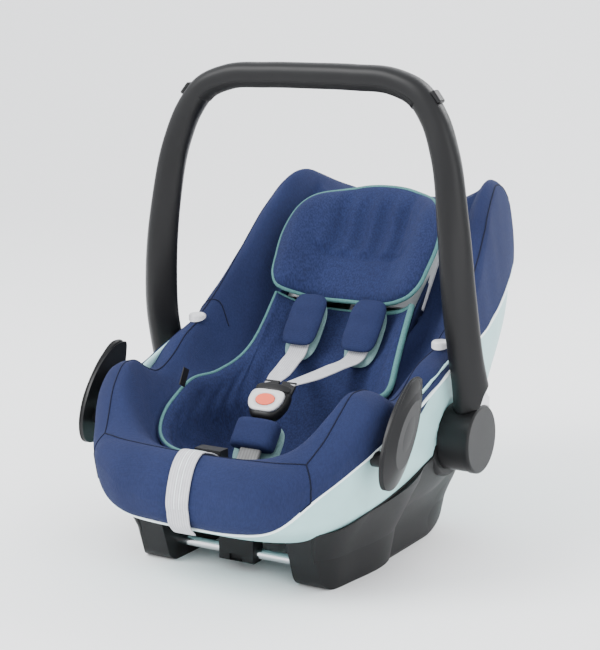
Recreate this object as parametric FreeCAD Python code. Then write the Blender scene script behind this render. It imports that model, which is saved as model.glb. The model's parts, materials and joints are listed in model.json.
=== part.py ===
import FreeCAD, Part
import math
import os

# Infant car seat with a swing handle.
# X is the width, -Y the foot end, +Y the head end, Z up from the ground.
# Everything is built with Y = 0 at the handle's hub axis and moved at the end,
# so that the origin is under the middle of the whole seat.

V = FreeCAD.Vector
SIDES = (("left", -1), ("right", 1))

# ---- overall sizes ----
HUB_Z = 143.0                 # height of the handle's hub axis
HANDLE_TOP = 575.0            # height of the upright handle
CAP_FACE_X = 221.0            # outer face of each hub cap, from the middle
LEG_X = 209.0                 # middle of the handle's leg just above the hub

# ---- moulded shell: height, half width, front end, rear end of each plan outline ----
SHELL_LEVELS = (
    (46, 112, -196, 62),
    (62, 143, -247, 82),
    (74, 156, -271, 94),
    (86, 164, -291, 107),
    (104, 172, -299, 125),
    (130, 179, -301, 150),
    (186, 187, -301, 204),
    (250, 184, -301, 276),
    (302, 175, -301, 317),
    (340, 169, -301, 331),
    (388, 160, -301, 334),
    (440, 148, -301, 326),
)
# ---- hollow that the child lies in, the same way ----
HOLLOW_LEVELS = (
    (92, 66, -160, -46),
    (99, 92, -186, -34),
    (114, 110, -208, -18),
    (150, 121, -232, 3),
    (200, 126, -256, 43),
    (260, 126, -270, 91),
    (350, 121, -282, 162),
    (445, 115, -290, 238),
)
SHELL_POWER = 3.3             # how square the shell's plan outline is
HOLLOW_POWER = 2.8
SHELL_WIDEST_Y = -35.0
PLAN_POINTS = 28
BELOW = -60.0                 # height under the seat at which side prisms are closed
SHELL_WALL = 4.0
COVER_PROUD = 4.0             # cover's skin outside the shell's sides
COVER_PROUD_END = 7.0         # and outside its front and rear
COVER_PAD = 9.0               # cover's padding inside the hollow
LINER_THICK = 38.0            # foam behind the cover, measured from the hollow
LINER_GAP = 0.4               # between shell, liner and cover
RIM_PAD = 13.0                # cover's padding over the shell's rim

# side view lines (y, z): top of the padded rim, and the cover's hem
RIM_LINE = (
    (-340, 96), (-309, 132), (-297, 151), (-281, 161), (-262, 164), (-238, 182), (-213, 213),
    (-188, 230), (-165, 228), (-138, 214), (-112, 206), (-88, 214), (-55, 236), (0, 255), (45, 287),
    (95, 337), (143, 391), (172, 416), (200, 424), (228, 417), (262, 398), (300, 378), (352, 360),
)
HEM_LINE = (
    (-340, 78), (-291, 84), (-265, 121), (-232, 147), (-150, 184), (-70, 212), (0, 234), (90, 257),
    (155, 279), (219, 303), (290, 326), (360, 340),
)
HEAD_DIP_HALF = 104.0         # the rear rim is lower between the head lobes
HEAD_DIP_FLARE = 22.0
HEAD_DIP_Z = 360.0
HEAD_DIP_FROM_Y = 120.0

# ---- black base ----
BASE_LEVELS = (
    (-4, 131, -214, 112),
    (40, 139, -222, 116),
    (75, 156, -232, 112),
    (105, 171, -240, 100),
    (140, 181, -244, 80),
)
BASE_POWER = 7.0
BASE_WIDEST_Y = -60.0
BASE_TOP_LINE = (
    (-260, 66), (-212, 75), (-185, 87), (-145, 97), (-98, 110), (-69, 120), (-40, 130), (20, 136), (120, 136),
)
ROCKER_INNER_X = 84.0
ROCKER_WALL = 5.0
FOOT_FRONT_Y = -199.0
FOOT_REAR_Y = 42.0
FOOT_FRONT_TOP_Y = -226.0
BASE_FRONT_ROUND = 22.0
BASE_REAR_LINE = ((42, 0), (66, 7), (88, 20), (97, 37), (92, 56), (72, 82), (52, 104))
PAN_FRONT_Y = -110.0
PAN_REAR_Y = 60.0
PAN_BOTTOM_Z = 36.0
PAN_THICK = 6.0
PAN_RIB_Z = 60.0

# ---- steel latch bars ----
BAR_RADIUS = 6.0
FRONT_BAR_Y = -179.0
FRONT_BAR_Z = 23.0
REAR_BAR_Y = 20.0
REAR_BAR_Z = 23.0
BAR_SEAT = 7.0                # how far a bar goes into each rocker
CLIP_WIDTH = 46.0
CLIP_SLOT_WIDTH = 18.0
CLIP_SLOT_HEIGHT = 7.0
CLIP_SLOT_Z = 14.0
CLIP_HALF_DEPTH = 11.0
CLIP_TOP_Z = 41.0

# ---- hub ----
HOUSING_RADIUS = 49.0
HOUSING_X0 = 158.0
HOUSING_X1 = 181.0
DRUM_RADIUS = 39.5
DRUM_X0 = 181.5
DRUM_X1 = 213.0
CAP_RADIUS = 40.5
PIN_RADIUS = 7.0
PIN_X0 = 160.0
PIN_X1 = 207.0
RUN_GAP = 0.05                # radial clearance of shaft in hole
RING_OUTER = 27.0
RING_INNER = 16.0
RING_X1 = 191.0
RING_NOTCHES = 12
RING_NOTCH = 5.0
HUB_ROOM = 1.5                # free room cut in shell and cover round the drum

# ---- handle: middle line of its right half from the hub to the top (x, y, z) ----
HANDLE_LINE = (
    (LEG_X, 3, 170), (LEG_X + 1.5, -12, 205), (LEG_X + 0.5, -27, 250), (204.5, -37, 320), (196, -37, 400),
    (181.5, -31, 478), (166, -27, 516), (144, -24.5, 543), (112, -22, 556), (60, -20, 559.5),
    (0, -19, HANDLE_TOP - 15),
)
LEG_LONG = 20.0               # half length and half thickness of the leg's oval section
LEG_THIN = 14.5
LEG_TURN = 50.0               # the oval is turned outwards by this many degrees
LEG_SQUARE = 2.6
TOP_TALL = 15.0
TOP_DEEP = 15.5
BLEND_FROM = 0.2              # share of the half arch where the leg's section starts to change
BLEND_TO = 0.8                # and where it has become the top bar's section
FOOT_SHARE = 0.16             # the leg is wider over this share, by FOOT_EXTRA each way at its end
FOOT_EXTRA = 5.0
HANDLE_SECTIONS = 16          # sections in each half
GRIP_SECTIONS = 7
RING_POINTS = 32
GRIP_FROM = 0.71              # share of the half arch where the grip starts
GRIP_BAND = 0.40              # part of the bar's height that the grip takes
GRIP_DEPTH = 0.93             # and of its depth
GRIP_PROUD = 0.8
LUG_AT = 0.695
LUG_LENGTH = 17.0
LUG_WIDTH = 15.0
LUG_PROUD = 4.0

# ---- release buttons ----
BUTTON_HALF = 17.0
BUTTON_THICK = 7.0
BUTTON_TOP_Z = 190.0
BUTTON_BOTTOM_Z = 168.0
BUTTON_TRAVEL = 4.0
BUTTON_GAP = 0.5
RECESS_DEPTH = 15.0
RECESS_TOP_Z = 213.0
RECESS_Y = 6.0
SPRING_RADIUS = 4.0
SPRING_WALL = 1.4

# ---- backrest frame: D runs up the backrest, N stands out of it ----
BACK_ANGLE = 51.5
BACK_START = V(0, 0, 150)
HEADREST_LOW = 146.0
HEADREST_HIGH = 316.0
HEADREST_HALF = 110.0
HEADREST_TRAVEL = 60.0
HEADREST_BACK = 8.0           # cushion's back above the hollow's rear plane
HEADREST_MID = 30.0
HEADREST_WING = 58.0
CARRIER_THICK = 4.0
CARRIER_GAP = 1.0
CARRIER_INSET = 12.0
PULL_HALF = 26.0              # half width of the grip that releases the headrest
SLIDE_ROOM = 3.0

# ---- inlay ----
INLAY_THICK = 8.0
INLAY_GAP = 0.6
INLAY_LINE = ((-215, 136), (-180, 150), (-140, 170), (-95, 186), (-40, 188), (5, 206), (46, 250), (66, 281))

# ---- harness ----
STRAP_WIDTH = 26.0
STRAP_THICK = 2.0
STRAP_N = 25.0
PAD_X = 42.0
PAD_WIDTH = 46.0
PAD_LOW = 70.0
PAD_HIGH = 140.0
PAD_TOP_N = 36.0
PAD_LOW_N = 19.5
PAD_ROOM = 2.0
STRAP_UPPER_LOW = 76.0
STALK_FOOT = V(0, -171, 113)
STALK_ANGLE = 52.0
STALK_WIDTH = 28.0
STALK_THICK = 6.0
STALK_LENGTH = 62.0
CROTCH_PAD_WIDTH = 56.0
CROTCH_PAD_LOW = 28.0
CROTCH_PAD_HIGH = 62.0
BUCKLE_CENTRE = V(0, -117, 183)
BUCKLE_ANGLE = 42.0
BUCKLE_WIDTH = 50.0
BUCKLE_LENGTH = 44.0
BUCKLE_THICK = 20.0
BUCKLE_FOOT = 0.62            # width of the buckle's lower end as a part of its upper one
BUCKLE_WELL_N = 1.0
BUCKLE_SPRING = 1.1
RED_HALF_WIDTH = 12.5
RED_HALF_LENGTH = 8.0
RED_TRAVEL = 3.0
TONGUE_X = 11.5
TONGUE_WIDTH = 19.0
TONGUE_THICK = 3.0
TONGUE_IN = 12.0
TONGUE_OUT = 15.0
TONGUE_N = -5.0
TONGUE_END = 0.72             # strap width at the tongue as a part of its full width
LOWER_STRAP = 0.62            # part of the way from tongue to shoulder pad that the lower strap runs

# ---- belt guides, studs, small parts ----
GUIDE_LENGTH = 134.0
GUIDE_WIDTH = 64.0
GUIDE_CENTRE = (-167.0, 186.0)
GUIDE_ANGLE = 53.0
GUIDE_X0 = 197.0
GUIDE_THICK = 6.0
GUIDE_DOME = 6.0
GUIDE_STEM_RADIUS = 9.0
STUD_Y = -9.0
STUD_X = 170.0
STUD_RADIUS = 11.0
STUD_HEIGHT = 6.0
ADJUST_STRAP_WIDTH = 29.0
ADJUST_STRAP_THICK = 1.6
ADJUST_LINE = (
    (-236, 150), (-244, 163), (-262, 167.5), (-282, 165), (-299, 153.5), (-310.5, 132), (-309.5, 104),
    (-301, 86), (-287, 76),
)
ADJUSTER_SIZE = (34.0, 16.0, 20.0)
ADJUSTER_AT = (-231.0, 139.0)
ADJUSTER_ROOM = 40.0           # free room in the padding before the adjuster
LEVER_TRAVEL = 3.0
TAG_SIZE = (1.2, 22.0, 12.0)
TAG_TURN = 62.0
TAG_AT = V(-118, -118, 190)
RAIL_WIDTH = 30.0
RAIL_DEPTH = 6.0
RAIL_TOP_N = -16.0            # rail, yoke and their rooms lie this far behind the hollow's rear plane
RAIL_LOW = 62.0
RAIL_HIGH = 258.0
YOKE_HALF = 32.0
YOKE_LOW = 22.0
YOKE_HIGH = 54.0
YOKE_THICK = 4.0
BRACKET_PLACE = V(0, 250, 227)
BRACKET_ANGLE = 41.6
BRACKET_WIDTH = 64.0
BRACKET_HEIGHT = 30.0
BRACKET_GAP = 15.0
BRACKET_WALL = 5.0
SCREW_X = 60.0
SCREW_RADIUS = 3.0
SCREW_HEAD = 5.5


# ---------------------------------------------------------------- helpers
def power_sign(value, exponent):
    """Keeps the sign of value while raising its size to the exponent."""
    return math.copysign(abs(value) ** exponent, value)


def closed_spline(points):
    curve = Part.BSplineCurve()
    curve.interpolate(points, PeriodicFlag=True)
    return Part.Wire([curve.toShape()])


def open_spline(points):
    curve = Part.BSplineCurve()
    curve.interpolate(points)
    return curve.toShape()


def plan_outline(level, power, widest, grow_side=0.0, grow_end=0.0):
    """Outline at one height: a front and a rear half superellipse that meet where it is widest."""
    z, half, front, rear = level
    if widest is None:
        widest = (front + rear) / 2
    points = []
    for i in range(PLAN_POINTS):
        turn = 2 * math.pi * i / PLAN_POINTS
        along = math.sin(turn)
        reach = (rear - widest) if along > 0 else (widest - front)
        x = (half + grow_side) * power_sign(math.cos(turn), 2 / power)
        y = widest + (reach + grow_end) * power_sign(along, 2 / power)
        points.append(V(x, y, z))
    return closed_spline(points)


def loft(wires):
    """Solid whose walls run straight from each closed wire to the next, turned the right side out."""
    solid = Part.makeLoft(wires, True, True)
    return solid.reversed() if solid.Volume < 0 else solid


def smooth_solid(rings):
    """Solid with one smooth skin through closed rings of points, and a flat face at each end."""
    skin = Part.BSplineSurface()
    skin.interpolate([ring + ring[:1] for ring in rings])
    face = skin.toShape()
    ends = [Part.Face(Part.Wire([edge])) for edge in face.Edges if edge.isClosed()]
    shell = Part.makeShell([face] + ends)
    shell.sewShape()
    solid = Part.Solid(shell)
    return solid.reversed() if solid.Volume < 0 else solid


def plan_loft(levels, power, widest=None, grow_side=0.0, grow_end=0.0):
    return loft([plan_outline(level, power, widest, grow_side, grow_end) for level in levels])


def side_wire(line, close_z, x):
    """Side view outline at x: a smooth line through (y, z) points, closed along a level line."""
    points = [V(x, y, z) for y, z in line]
    first, last = points[0], points[-1]
    low_last = V(x, last.y, close_z)
    low_first = V(x, first.y, close_z)
    return Part.Wire([
        open_spline(points),
        Part.makeLine(last, low_last),
        Part.makeLine(low_last, low_first),
        Part.makeLine(low_first, first),
    ])


def side_prism(line, close_z, x0=-300.0, x1=300.0):
    return Part.Face(side_wire(line, close_z, x0)).extrude(V(x1 - x0, 0, 0))


def box(x0, x1, y0, y1, z0, z1):
    return Part.makeBox(x1 - x0, y1 - y0, z1 - z0, V(x0, y0, z0))


def rod_x(radius, x0, x1, y, z):
    return Part.makeCylinder(radius, x1 - x0, V(x0, y, z), V(1, 0, 0))


def polygon_prism(points, direction):
    return Part.Face(Part.makePolygon(list(points) + [points[0]])).extrude(direction)


def mirrored(shape):
    return shape.mirror(V(0, 0, 0), V(1, 0, 0))


def keep_largest(shape):
    """Drops slivers that a cut leaves behind."""
    return max(shape.Solids, key=lambda solid: solid.Volume)


def rounded(shape, radius, chooser):
    edges = [edge for edge in shape.Edges if chooser(edge)]
    return shape.makeFillet(radius, edges)


def lowered(line, drop):
    return tuple((y, z - drop) for y, z in line)


class Slope:
    """A tilted frame in the middle plane: x stays, d runs up the slope, n stands out of it."""

    def __init__(self, start, angle):
        turn = math.radians(angle)
        self.start = start
        self.d = V(0, math.cos(turn), math.sin(turn))
        self.n = V(0, -math.sin(turn), math.cos(turn))

    def point(self, x, d, n):
        return self.start + V(x, 0, 0) + self.d * d + self.n * n

    def depth(self, point):
        """How far a point stands out of the slope."""
        return (point - self.start).dot(self.n)

    def block(self, x0, x1, d0, d1, n0, n1):
        corners = [self.point(x, d0, n) for x, n in ((x0, n0), (x1, n0), (x1, n1), (x0, n1))]
        return polygon_prism(corners, self.d * (d1 - d0))


BACK = Slope(BACK_START, BACK_ANGLE)
STALK = Slope(STALK_FOOT, STALK_ANGLE)
BUCKLE = Slope(BUCKLE_CENTRE, BUCKLE_ANGLE)
REAR = Slope(BRACKET_PLACE, BRACKET_ANGLE)

parts = {}


def keep_out_shell():
    """The shell's outer form with a small gap, cut from what stands against it."""
    return plan_loft(SHELL_LEVELS, SHELL_POWER, SHELL_WIDEST_Y, LINER_GAP, LINER_GAP)


# ---------------------------------------------------------------- seat: shell, liner, cover, inlay
def headrest_outline(grow):
    """Section of headrest and carrier across the backrest, as (x, n): a wide U."""
    half = HEADREST_HALF + grow
    low = HEADREST_BACK - CARRIER_THICK - CARRIER_GAP - grow
    wing = HEADREST_WING + grow
    return ((-half, wing), (-half, low), (half, low), (half, wing))


def headrest_room():
    """Free room that the headrest, its pads and its carrier sweep."""
    outline = headrest_outline(SLIDE_ROOM)
    corners = [BACK.point(x, HEADREST_LOW - SLIDE_ROOM, n) for x, n in outline]
    length = HEADREST_HIGH - HEADREST_LOW + HEADREST_TRAVEL + 2 * SLIDE_ROOM
    return polygon_prism(corners, BACK.d * length)


def head_dip(drop):
    half = HEAD_DIP_HALF + drop
    z = HEAD_DIP_Z - drop
    corners = (
        V(-half, HEAD_DIP_FROM_Y, z),
        V(half, HEAD_DIP_FROM_Y, z),
        V(half + HEAD_DIP_FLARE, HEAD_DIP_FROM_Y, z + 100),
        V(-half - HEAD_DIP_FLARE, HEAD_DIP_FROM_Y, z + 100),
    )
    return polygon_prism(corners, V(0, 400, 0))


def hub_room(side):
    room = rod_x(DRUM_RADIUS + HUB_ROOM, HOUSING_X1 - 0.5, 240, 0, HUB_Z)
    return room if side > 0 else mirrored(room)


def make_seat():
    outside = plan_loft(SHELL_LEVELS, SHELL_POWER, SHELL_WIDEST_Y)
    z, half, front, rear = SHELL_LEVELS[0]
    inside_levels = ((z + SHELL_WALL, half, front, rear),) + SHELL_LEVELS[1:]
    wall_in = plan_loft(inside_levels, SHELL_POWER, SHELL_WIDEST_Y, -SHELL_WALL, -SHELL_WALL)
    liner_out = plan_loft(
        inside_levels, SHELL_POWER, SHELL_WIDEST_Y, -SHELL_WALL - LINER_GAP, -SHELL_WALL - LINER_GAP
    )
    hollow = plan_loft(HOLLOW_LEVELS, HOLLOW_POWER)
    room = headrest_room()
    rim_low = side_prism(lowered(RIM_LINE, RIM_PAD), BELOW)
    pad_levels = tuple((z - COVER_PAD, h, f, r) for z, h, f, r in HOLLOW_LEVELS)
    pad_out = plan_loft(pad_levels, HOLLOW_POWER, None, COVER_PAD, COVER_PAD)
    drums = [hub_room(side) for _, side in SIDES]
    low_dip = head_dip(RIM_PAD)
    shell = outside.cut(wall_in).common(rim_low).cut(low_dip).cut(room).cut(drums[0]).cut(drums[1])
    pin = rod_x(PIN_RADIUS, PIN_X0, PIN_X1, 0, HUB_Z)
    shell = shell.cut(pin).cut(mirrored(pin))
    parts["seat_shell"] = keep_largest(shell)
    deep_levels = tuple((z - LINER_THICK, h, f, r) for z, h, f, r in HOLLOW_LEVELS)
    liner_far = plan_loft(deep_levels, HOLLOW_POWER, None, LINER_THICK, LINER_THICK)
    liner = liner_out.common(liner_far).common(rim_low).cut(low_dip).cut(pad_out).cut(room)
    half_rail = RAIL_WIDTH / 2
    rail = BACK.block(-half_rail, half_rail, RAIL_LOW, RAIL_HIGH, RAIL_TOP_N - RAIL_DEPTH, RAIL_TOP_N)
    yoke = BACK.block(-YOKE_HALF, YOKE_HALF, YOKE_LOW, YOKE_HIGH, RAIL_TOP_N - YOKE_THICK, RAIL_TOP_N)
    parts["foam_liner"] = keep_largest(liner.cut(rail).cut(yoke).cut(drums[0]).cut(drums[1]))
    parts["headrest_rail"] = rail
    parts["harness_yoke"] = yoke
    cover_out = plan_loft(SHELL_LEVELS, SHELL_POWER, SHELL_WIDEST_Y, COVER_PROUD, COVER_PROUD_END)
    keep_out = keep_out_shell()
    pad_gap = RIM_PAD - LINER_GAP
    core = keep_out.common(side_prism(lowered(RIM_LINE, pad_gap), BELOW)).cut(head_dip(pad_gap))
    core = core.cut(plan_loft(pad_levels, HOLLOW_POWER, None, COVER_PAD - LINER_GAP, COVER_PAD - LINER_GAP))
    body = cover_out.common(side_prism(RIM_LINE, BELOW)).cut(head_dip(0))
    below_hem = side_prism(HEM_LINE, -80)
    skirt = below_hem.cut(plan_loft(pad_levels, HOLLOW_POWER, None, COVER_PAD, COVER_PAD))
    cover = body.cut(core).cut(hollow).cut(skirt).cut(room)
    cover = cover.cut(drums[0]).cut(drums[1])
    parts["seat_cover"] = keep_largest(cover)
    inlay_out = plan_loft(HOLLOW_LEVELS, HOLLOW_POWER, None, -INLAY_GAP, -INLAY_GAP)
    raised = tuple((z + INLAY_THICK, h, f, r) for z, h, f, r in HOLLOW_LEVELS)
    inlay_in = plan_loft(raised, HOLLOW_POWER, None, -INLAY_THICK, -INLAY_THICK)
    inlay = inlay_out.common(side_prism(INLAY_LINE, BELOW)).cut(inlay_in)
    inlay = inlay.cut(BACK.block(-200, 200, HEADREST_LOW - SLIDE_ROOM - 1, 400, -200, 200))
    parts["seat_inlay"] = keep_largest(inlay)


# ---------------------------------------------------------------- base
def rocker_side_wire(inset):
    """Side view of a rocker: sloping front, round front foot, flat sole, rising rear."""
    top = 160.0
    rear = [V(0, y - inset * 0.7, z + inset * 0.7) for y, z in BASE_REAR_LINE]
    rear[0] = V(0, FOOT_REAR_Y, inset)
    edges = [
        Part.makeLine(V(0, FOOT_FRONT_TOP_Y + inset, top), V(0, FOOT_FRONT_TOP_Y + inset, 75)),
        Part.makeLine(V(0, FOOT_FRONT_TOP_Y + inset, 75), V(0, FOOT_FRONT_Y + inset, inset)),
        Part.makeLine(V(0, FOOT_FRONT_Y + inset, inset), rear[0]),
        open_spline(rear),
        Part.makeLine(rear[-1], V(0, rear[-1].y, top)),
        Part.makeLine(V(0, rear[-1].y, top), V(0, FOOT_FRONT_TOP_Y + inset, top)),
    ]
    return Part.Wire(edges)


def make_base():
    keep_out = keep_out_shell()
    skirt = plan_loft(BASE_LEVELS, BASE_POWER, BASE_WIDEST_Y)
    skirt_in = plan_loft(BASE_LEVELS, BASE_POWER, BASE_WIDEST_Y, -ROCKER_WALL, -ROCKER_WALL)
    top = side_prism(BASE_TOP_LINE, -30)
    solid = Part.Face(rocker_side_wire(0.0)).extrude(V(260, 0, 0))

    def at_front_foot(edge):
        middle = edge.CenterOfMass
        return math.hypot(middle.y - FOOT_FRONT_Y, middle.z) < 1

    solid = rounded(solid, BASE_FRONT_ROUND, at_front_foot)
    hollow = Part.Face(rocker_side_wire(ROCKER_WALL)).extrude(V(260, 0, 0))
    right = solid.common(skirt).common(top).cut(box(-300, ROCKER_INNER_X, -400, 400, -50, 300))
    inner = hollow.common(skirt_in).cut(box(-300, ROCKER_INNER_X + ROCKER_WALL, -400, 400, -50, 300))
    bar_walls = []
    for y, z in ((FRONT_BAR_Y, FRONT_BAR_Z), (REAR_BAR_Y, REAR_BAR_Z)):
        bar_walls.append(rod_x(BAR_RADIUS, -ROCKER_INNER_X - BAR_SEAT, ROCKER_INNER_X + BAR_SEAT, y, z))
        boss = rod_x(BAR_RADIUS + ROCKER_WALL, ROCKER_INNER_X, ROCKER_INNER_X + BAR_SEAT + 3, y, z)
        inner = inner.cut(boss)
    right = right.cut(inner).cut(keep_out)
    for bar in bar_walls:
        right = right.cut(bar)
    housing_room = rod_x(HOUSING_RADIUS + LINER_GAP, HOUSING_X0 - LINER_GAP, 260, 0, HUB_Z)
    right = keep_largest(right.cut(housing_room))
    parts["base_rocker_right"] = right
    parts["base_rocker_left"] = mirrored(right)
    parts["front_bar"] = bar_walls[0]
    parts["rear_bar"] = bar_walls[1]
    half = ROCKER_INNER_X - 0.3
    pan = box(-half, half, PAN_FRONT_Y, PAN_REAR_Y, PAN_BOTTOM_Z, PAN_BOTTOM_Z + PAN_THICK)
    rib = box(-half, half, PAN_FRONT_Y, PAN_FRONT_Y + PAN_THICK, PAN_BOTTOM_Z, PAN_RIB_Z)
    rib_rear = box(-half, half, PAN_REAR_Y - PAN_THICK, PAN_REAR_Y, PAN_BOTTOM_Z, PAN_RIB_Z)
    pan = pan.fuse(rib).fuse(rib_rear).cut(keep_out).removeSplitter()
    screws = []
    for x in (-SCREW_X, SCREW_X):
        for y in (PAN_FRONT_Y + 30, PAN_REAR_Y - 30):
            head = Part.makeCylinder(SCREW_HEAD, 2.5, V(x, y, PAN_BOTTOM_Z - 2.5))
            shank = Part.makeCylinder(SCREW_RADIUS, PAN_THICK, V(x, y, PAN_BOTTOM_Z))
            screws.append(head.fuse(shank).removeSplitter())
            pan = pan.cut(Part.makeCylinder(SCREW_RADIUS, PAN_THICK, V(x, y, PAN_BOTTOM_Z)))
    parts["base_pan"] = keep_largest(pan)
    parts["base_screws"] = Part.makeCompound(screws)
    clip = box(
        -CLIP_WIDTH / 2, CLIP_WIDTH / 2, FRONT_BAR_Y - CLIP_HALF_DEPTH, FRONT_BAR_Y + CLIP_HALF_DEPTH,
        FRONT_BAR_Z - CLIP_HALF_DEPTH, CLIP_TOP_Z,
    )
    clip = rounded(clip, 3.0, lambda e: abs(e.CenterOfMass.x) < 1)
    slot = box(
        -CLIP_SLOT_WIDTH / 2, CLIP_SLOT_WIDTH / 2,
        FRONT_BAR_Y - CLIP_HALF_DEPTH - 1, FRONT_BAR_Y - BAR_RADIUS - 1,
        CLIP_SLOT_Z, CLIP_SLOT_Z + CLIP_SLOT_HEIGHT,
    )
    parts["bar_clip"] = clip.cut(bar_walls[0]).cut(slot)


# ---------------------------------------------------------------- hub
def make_hub():
    keep_out = keep_out_shell()
    housing = rod_x(HOUSING_RADIUS, HOUSING_X0, HOUSING_X1, 0, HUB_Z)
    housing = rounded(housing, 4.0, lambda e: abs(e.CenterOfMass.x - HOUSING_X1) < 0.1)
    pin = rod_x(PIN_RADIUS, PIN_X0, PIN_X1, 0, HUB_Z)
    ring = rod_x(RING_OUTER, HOUSING_X1, RING_X1, 0, HUB_Z)
    ring = ring.cut(rod_x(RING_INNER, HOUSING_X1 - 1, RING_X1 + 1, 0, HUB_Z))
    for i in range(RING_NOTCHES):
        turn = 2 * math.pi * i / RING_NOTCHES
        notch = box(
            HOUSING_X1 + 1, RING_X1 + 1, RING_OUTER - RING_NOTCH, RING_OUTER + 1, HUB_Z - 2, HUB_Z + 2
        )
        notch.rotate(V(0, 0, HUB_Z), V(1, 0, 0), math.degrees(turn))
        ring = ring.cut(notch)
    housing = keep_largest(housing.cut(keep_out).cut(pin))
    drum = rod_x(DRUM_RADIUS, DRUM_X0, DRUM_X1, 0, HUB_Z)
    drum = drum.cut(rod_x(RING_OUTER + 1.5, DRUM_X0 - 1, RING_X1 + 1.5, 0, HUB_Z))
    bearing = rod_x(PIN_RADIUS + RUN_GAP, DRUM_X0 - 1, PIN_X1 + 1, 0, HUB_Z)
    drum = drum.cut(bearing)
    cap = rod_x(CAP_RADIUS, DRUM_X1, CAP_FACE_X, 0, HUB_Z)
    cap = rounded(cap, 3.0, lambda e: abs(e.CenterOfMass.x - CAP_FACE_X) < 0.1)
    for name, side in SIDES:
        turn = (lambda s: s) if side > 0 else mirrored
        parts["hub_housing_" + name] = turn(housing)
        parts["pivot_pin_" + name] = turn(pin)
        parts["lock_ring_" + name] = turn(ring)
        parts["hub_drum_" + name] = turn(drum)
        parts["hub_cap_" + name] = turn(cap)


# ---------------------------------------------------------------- handle
def handle_curve():
    return open_spline([V(*point) for point in HANDLE_LINE])


def handle_section(share, scale, shift, side):
    """Ring of points round the arch; share runs from 0 at the hub to 1 at the middle of the top."""
    edge = handle_curve()
    at = edge.getParameterByLength(share * edge.Length)
    centre = edge.valueAt(at)
    along = edge.tangentAt(at)
    out = V(0, 1, 0).cross(along)
    out.normalize()
    deep = along.cross(out)
    deep.normalize()
    blend = min(1.0, max(0.0, (share - BLEND_FROM) / (BLEND_TO - BLEND_FROM)))
    foot = max(0.0, 1 - share / FOOT_SHARE) ** 2
    long_half = LEG_LONG + (TOP_TALL - LEG_LONG) * blend + FOOT_EXTRA * foot
    thin_half = LEG_THIN + (TOP_DEEP - LEG_THIN) * blend
    turn = math.radians(LEG_TURN) * (1 - blend)
    points = []
    for i in range(RING_POINTS):
        angle = 2 * math.pi * i / RING_POINTS
        a = long_half * power_sign(math.cos(angle), 2 / LEG_SQUARE)
        b = thin_half * power_sign(math.sin(angle), 2 / LEG_SQUARE)
        u = a * math.cos(turn) - b * math.sin(turn)
        v = a * math.sin(turn) + b * math.cos(turn)
        u = shift + u * scale
        point = centre + out * u + deep * v * (GRIP_DEPTH if shift else 1.0)
        points.append(V(side * point.x, point.y, point.z))
    return points


def handle_rings(shares, scale, shift):
    """Rings over these shares of the arch's right half, and then the same on the left."""
    right = [handle_section(share, scale, shift, 1) for share in shares]
    left = [handle_section(share, scale, shift, -1) for share in reversed(shares[:-1])]
    return right + left


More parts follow.
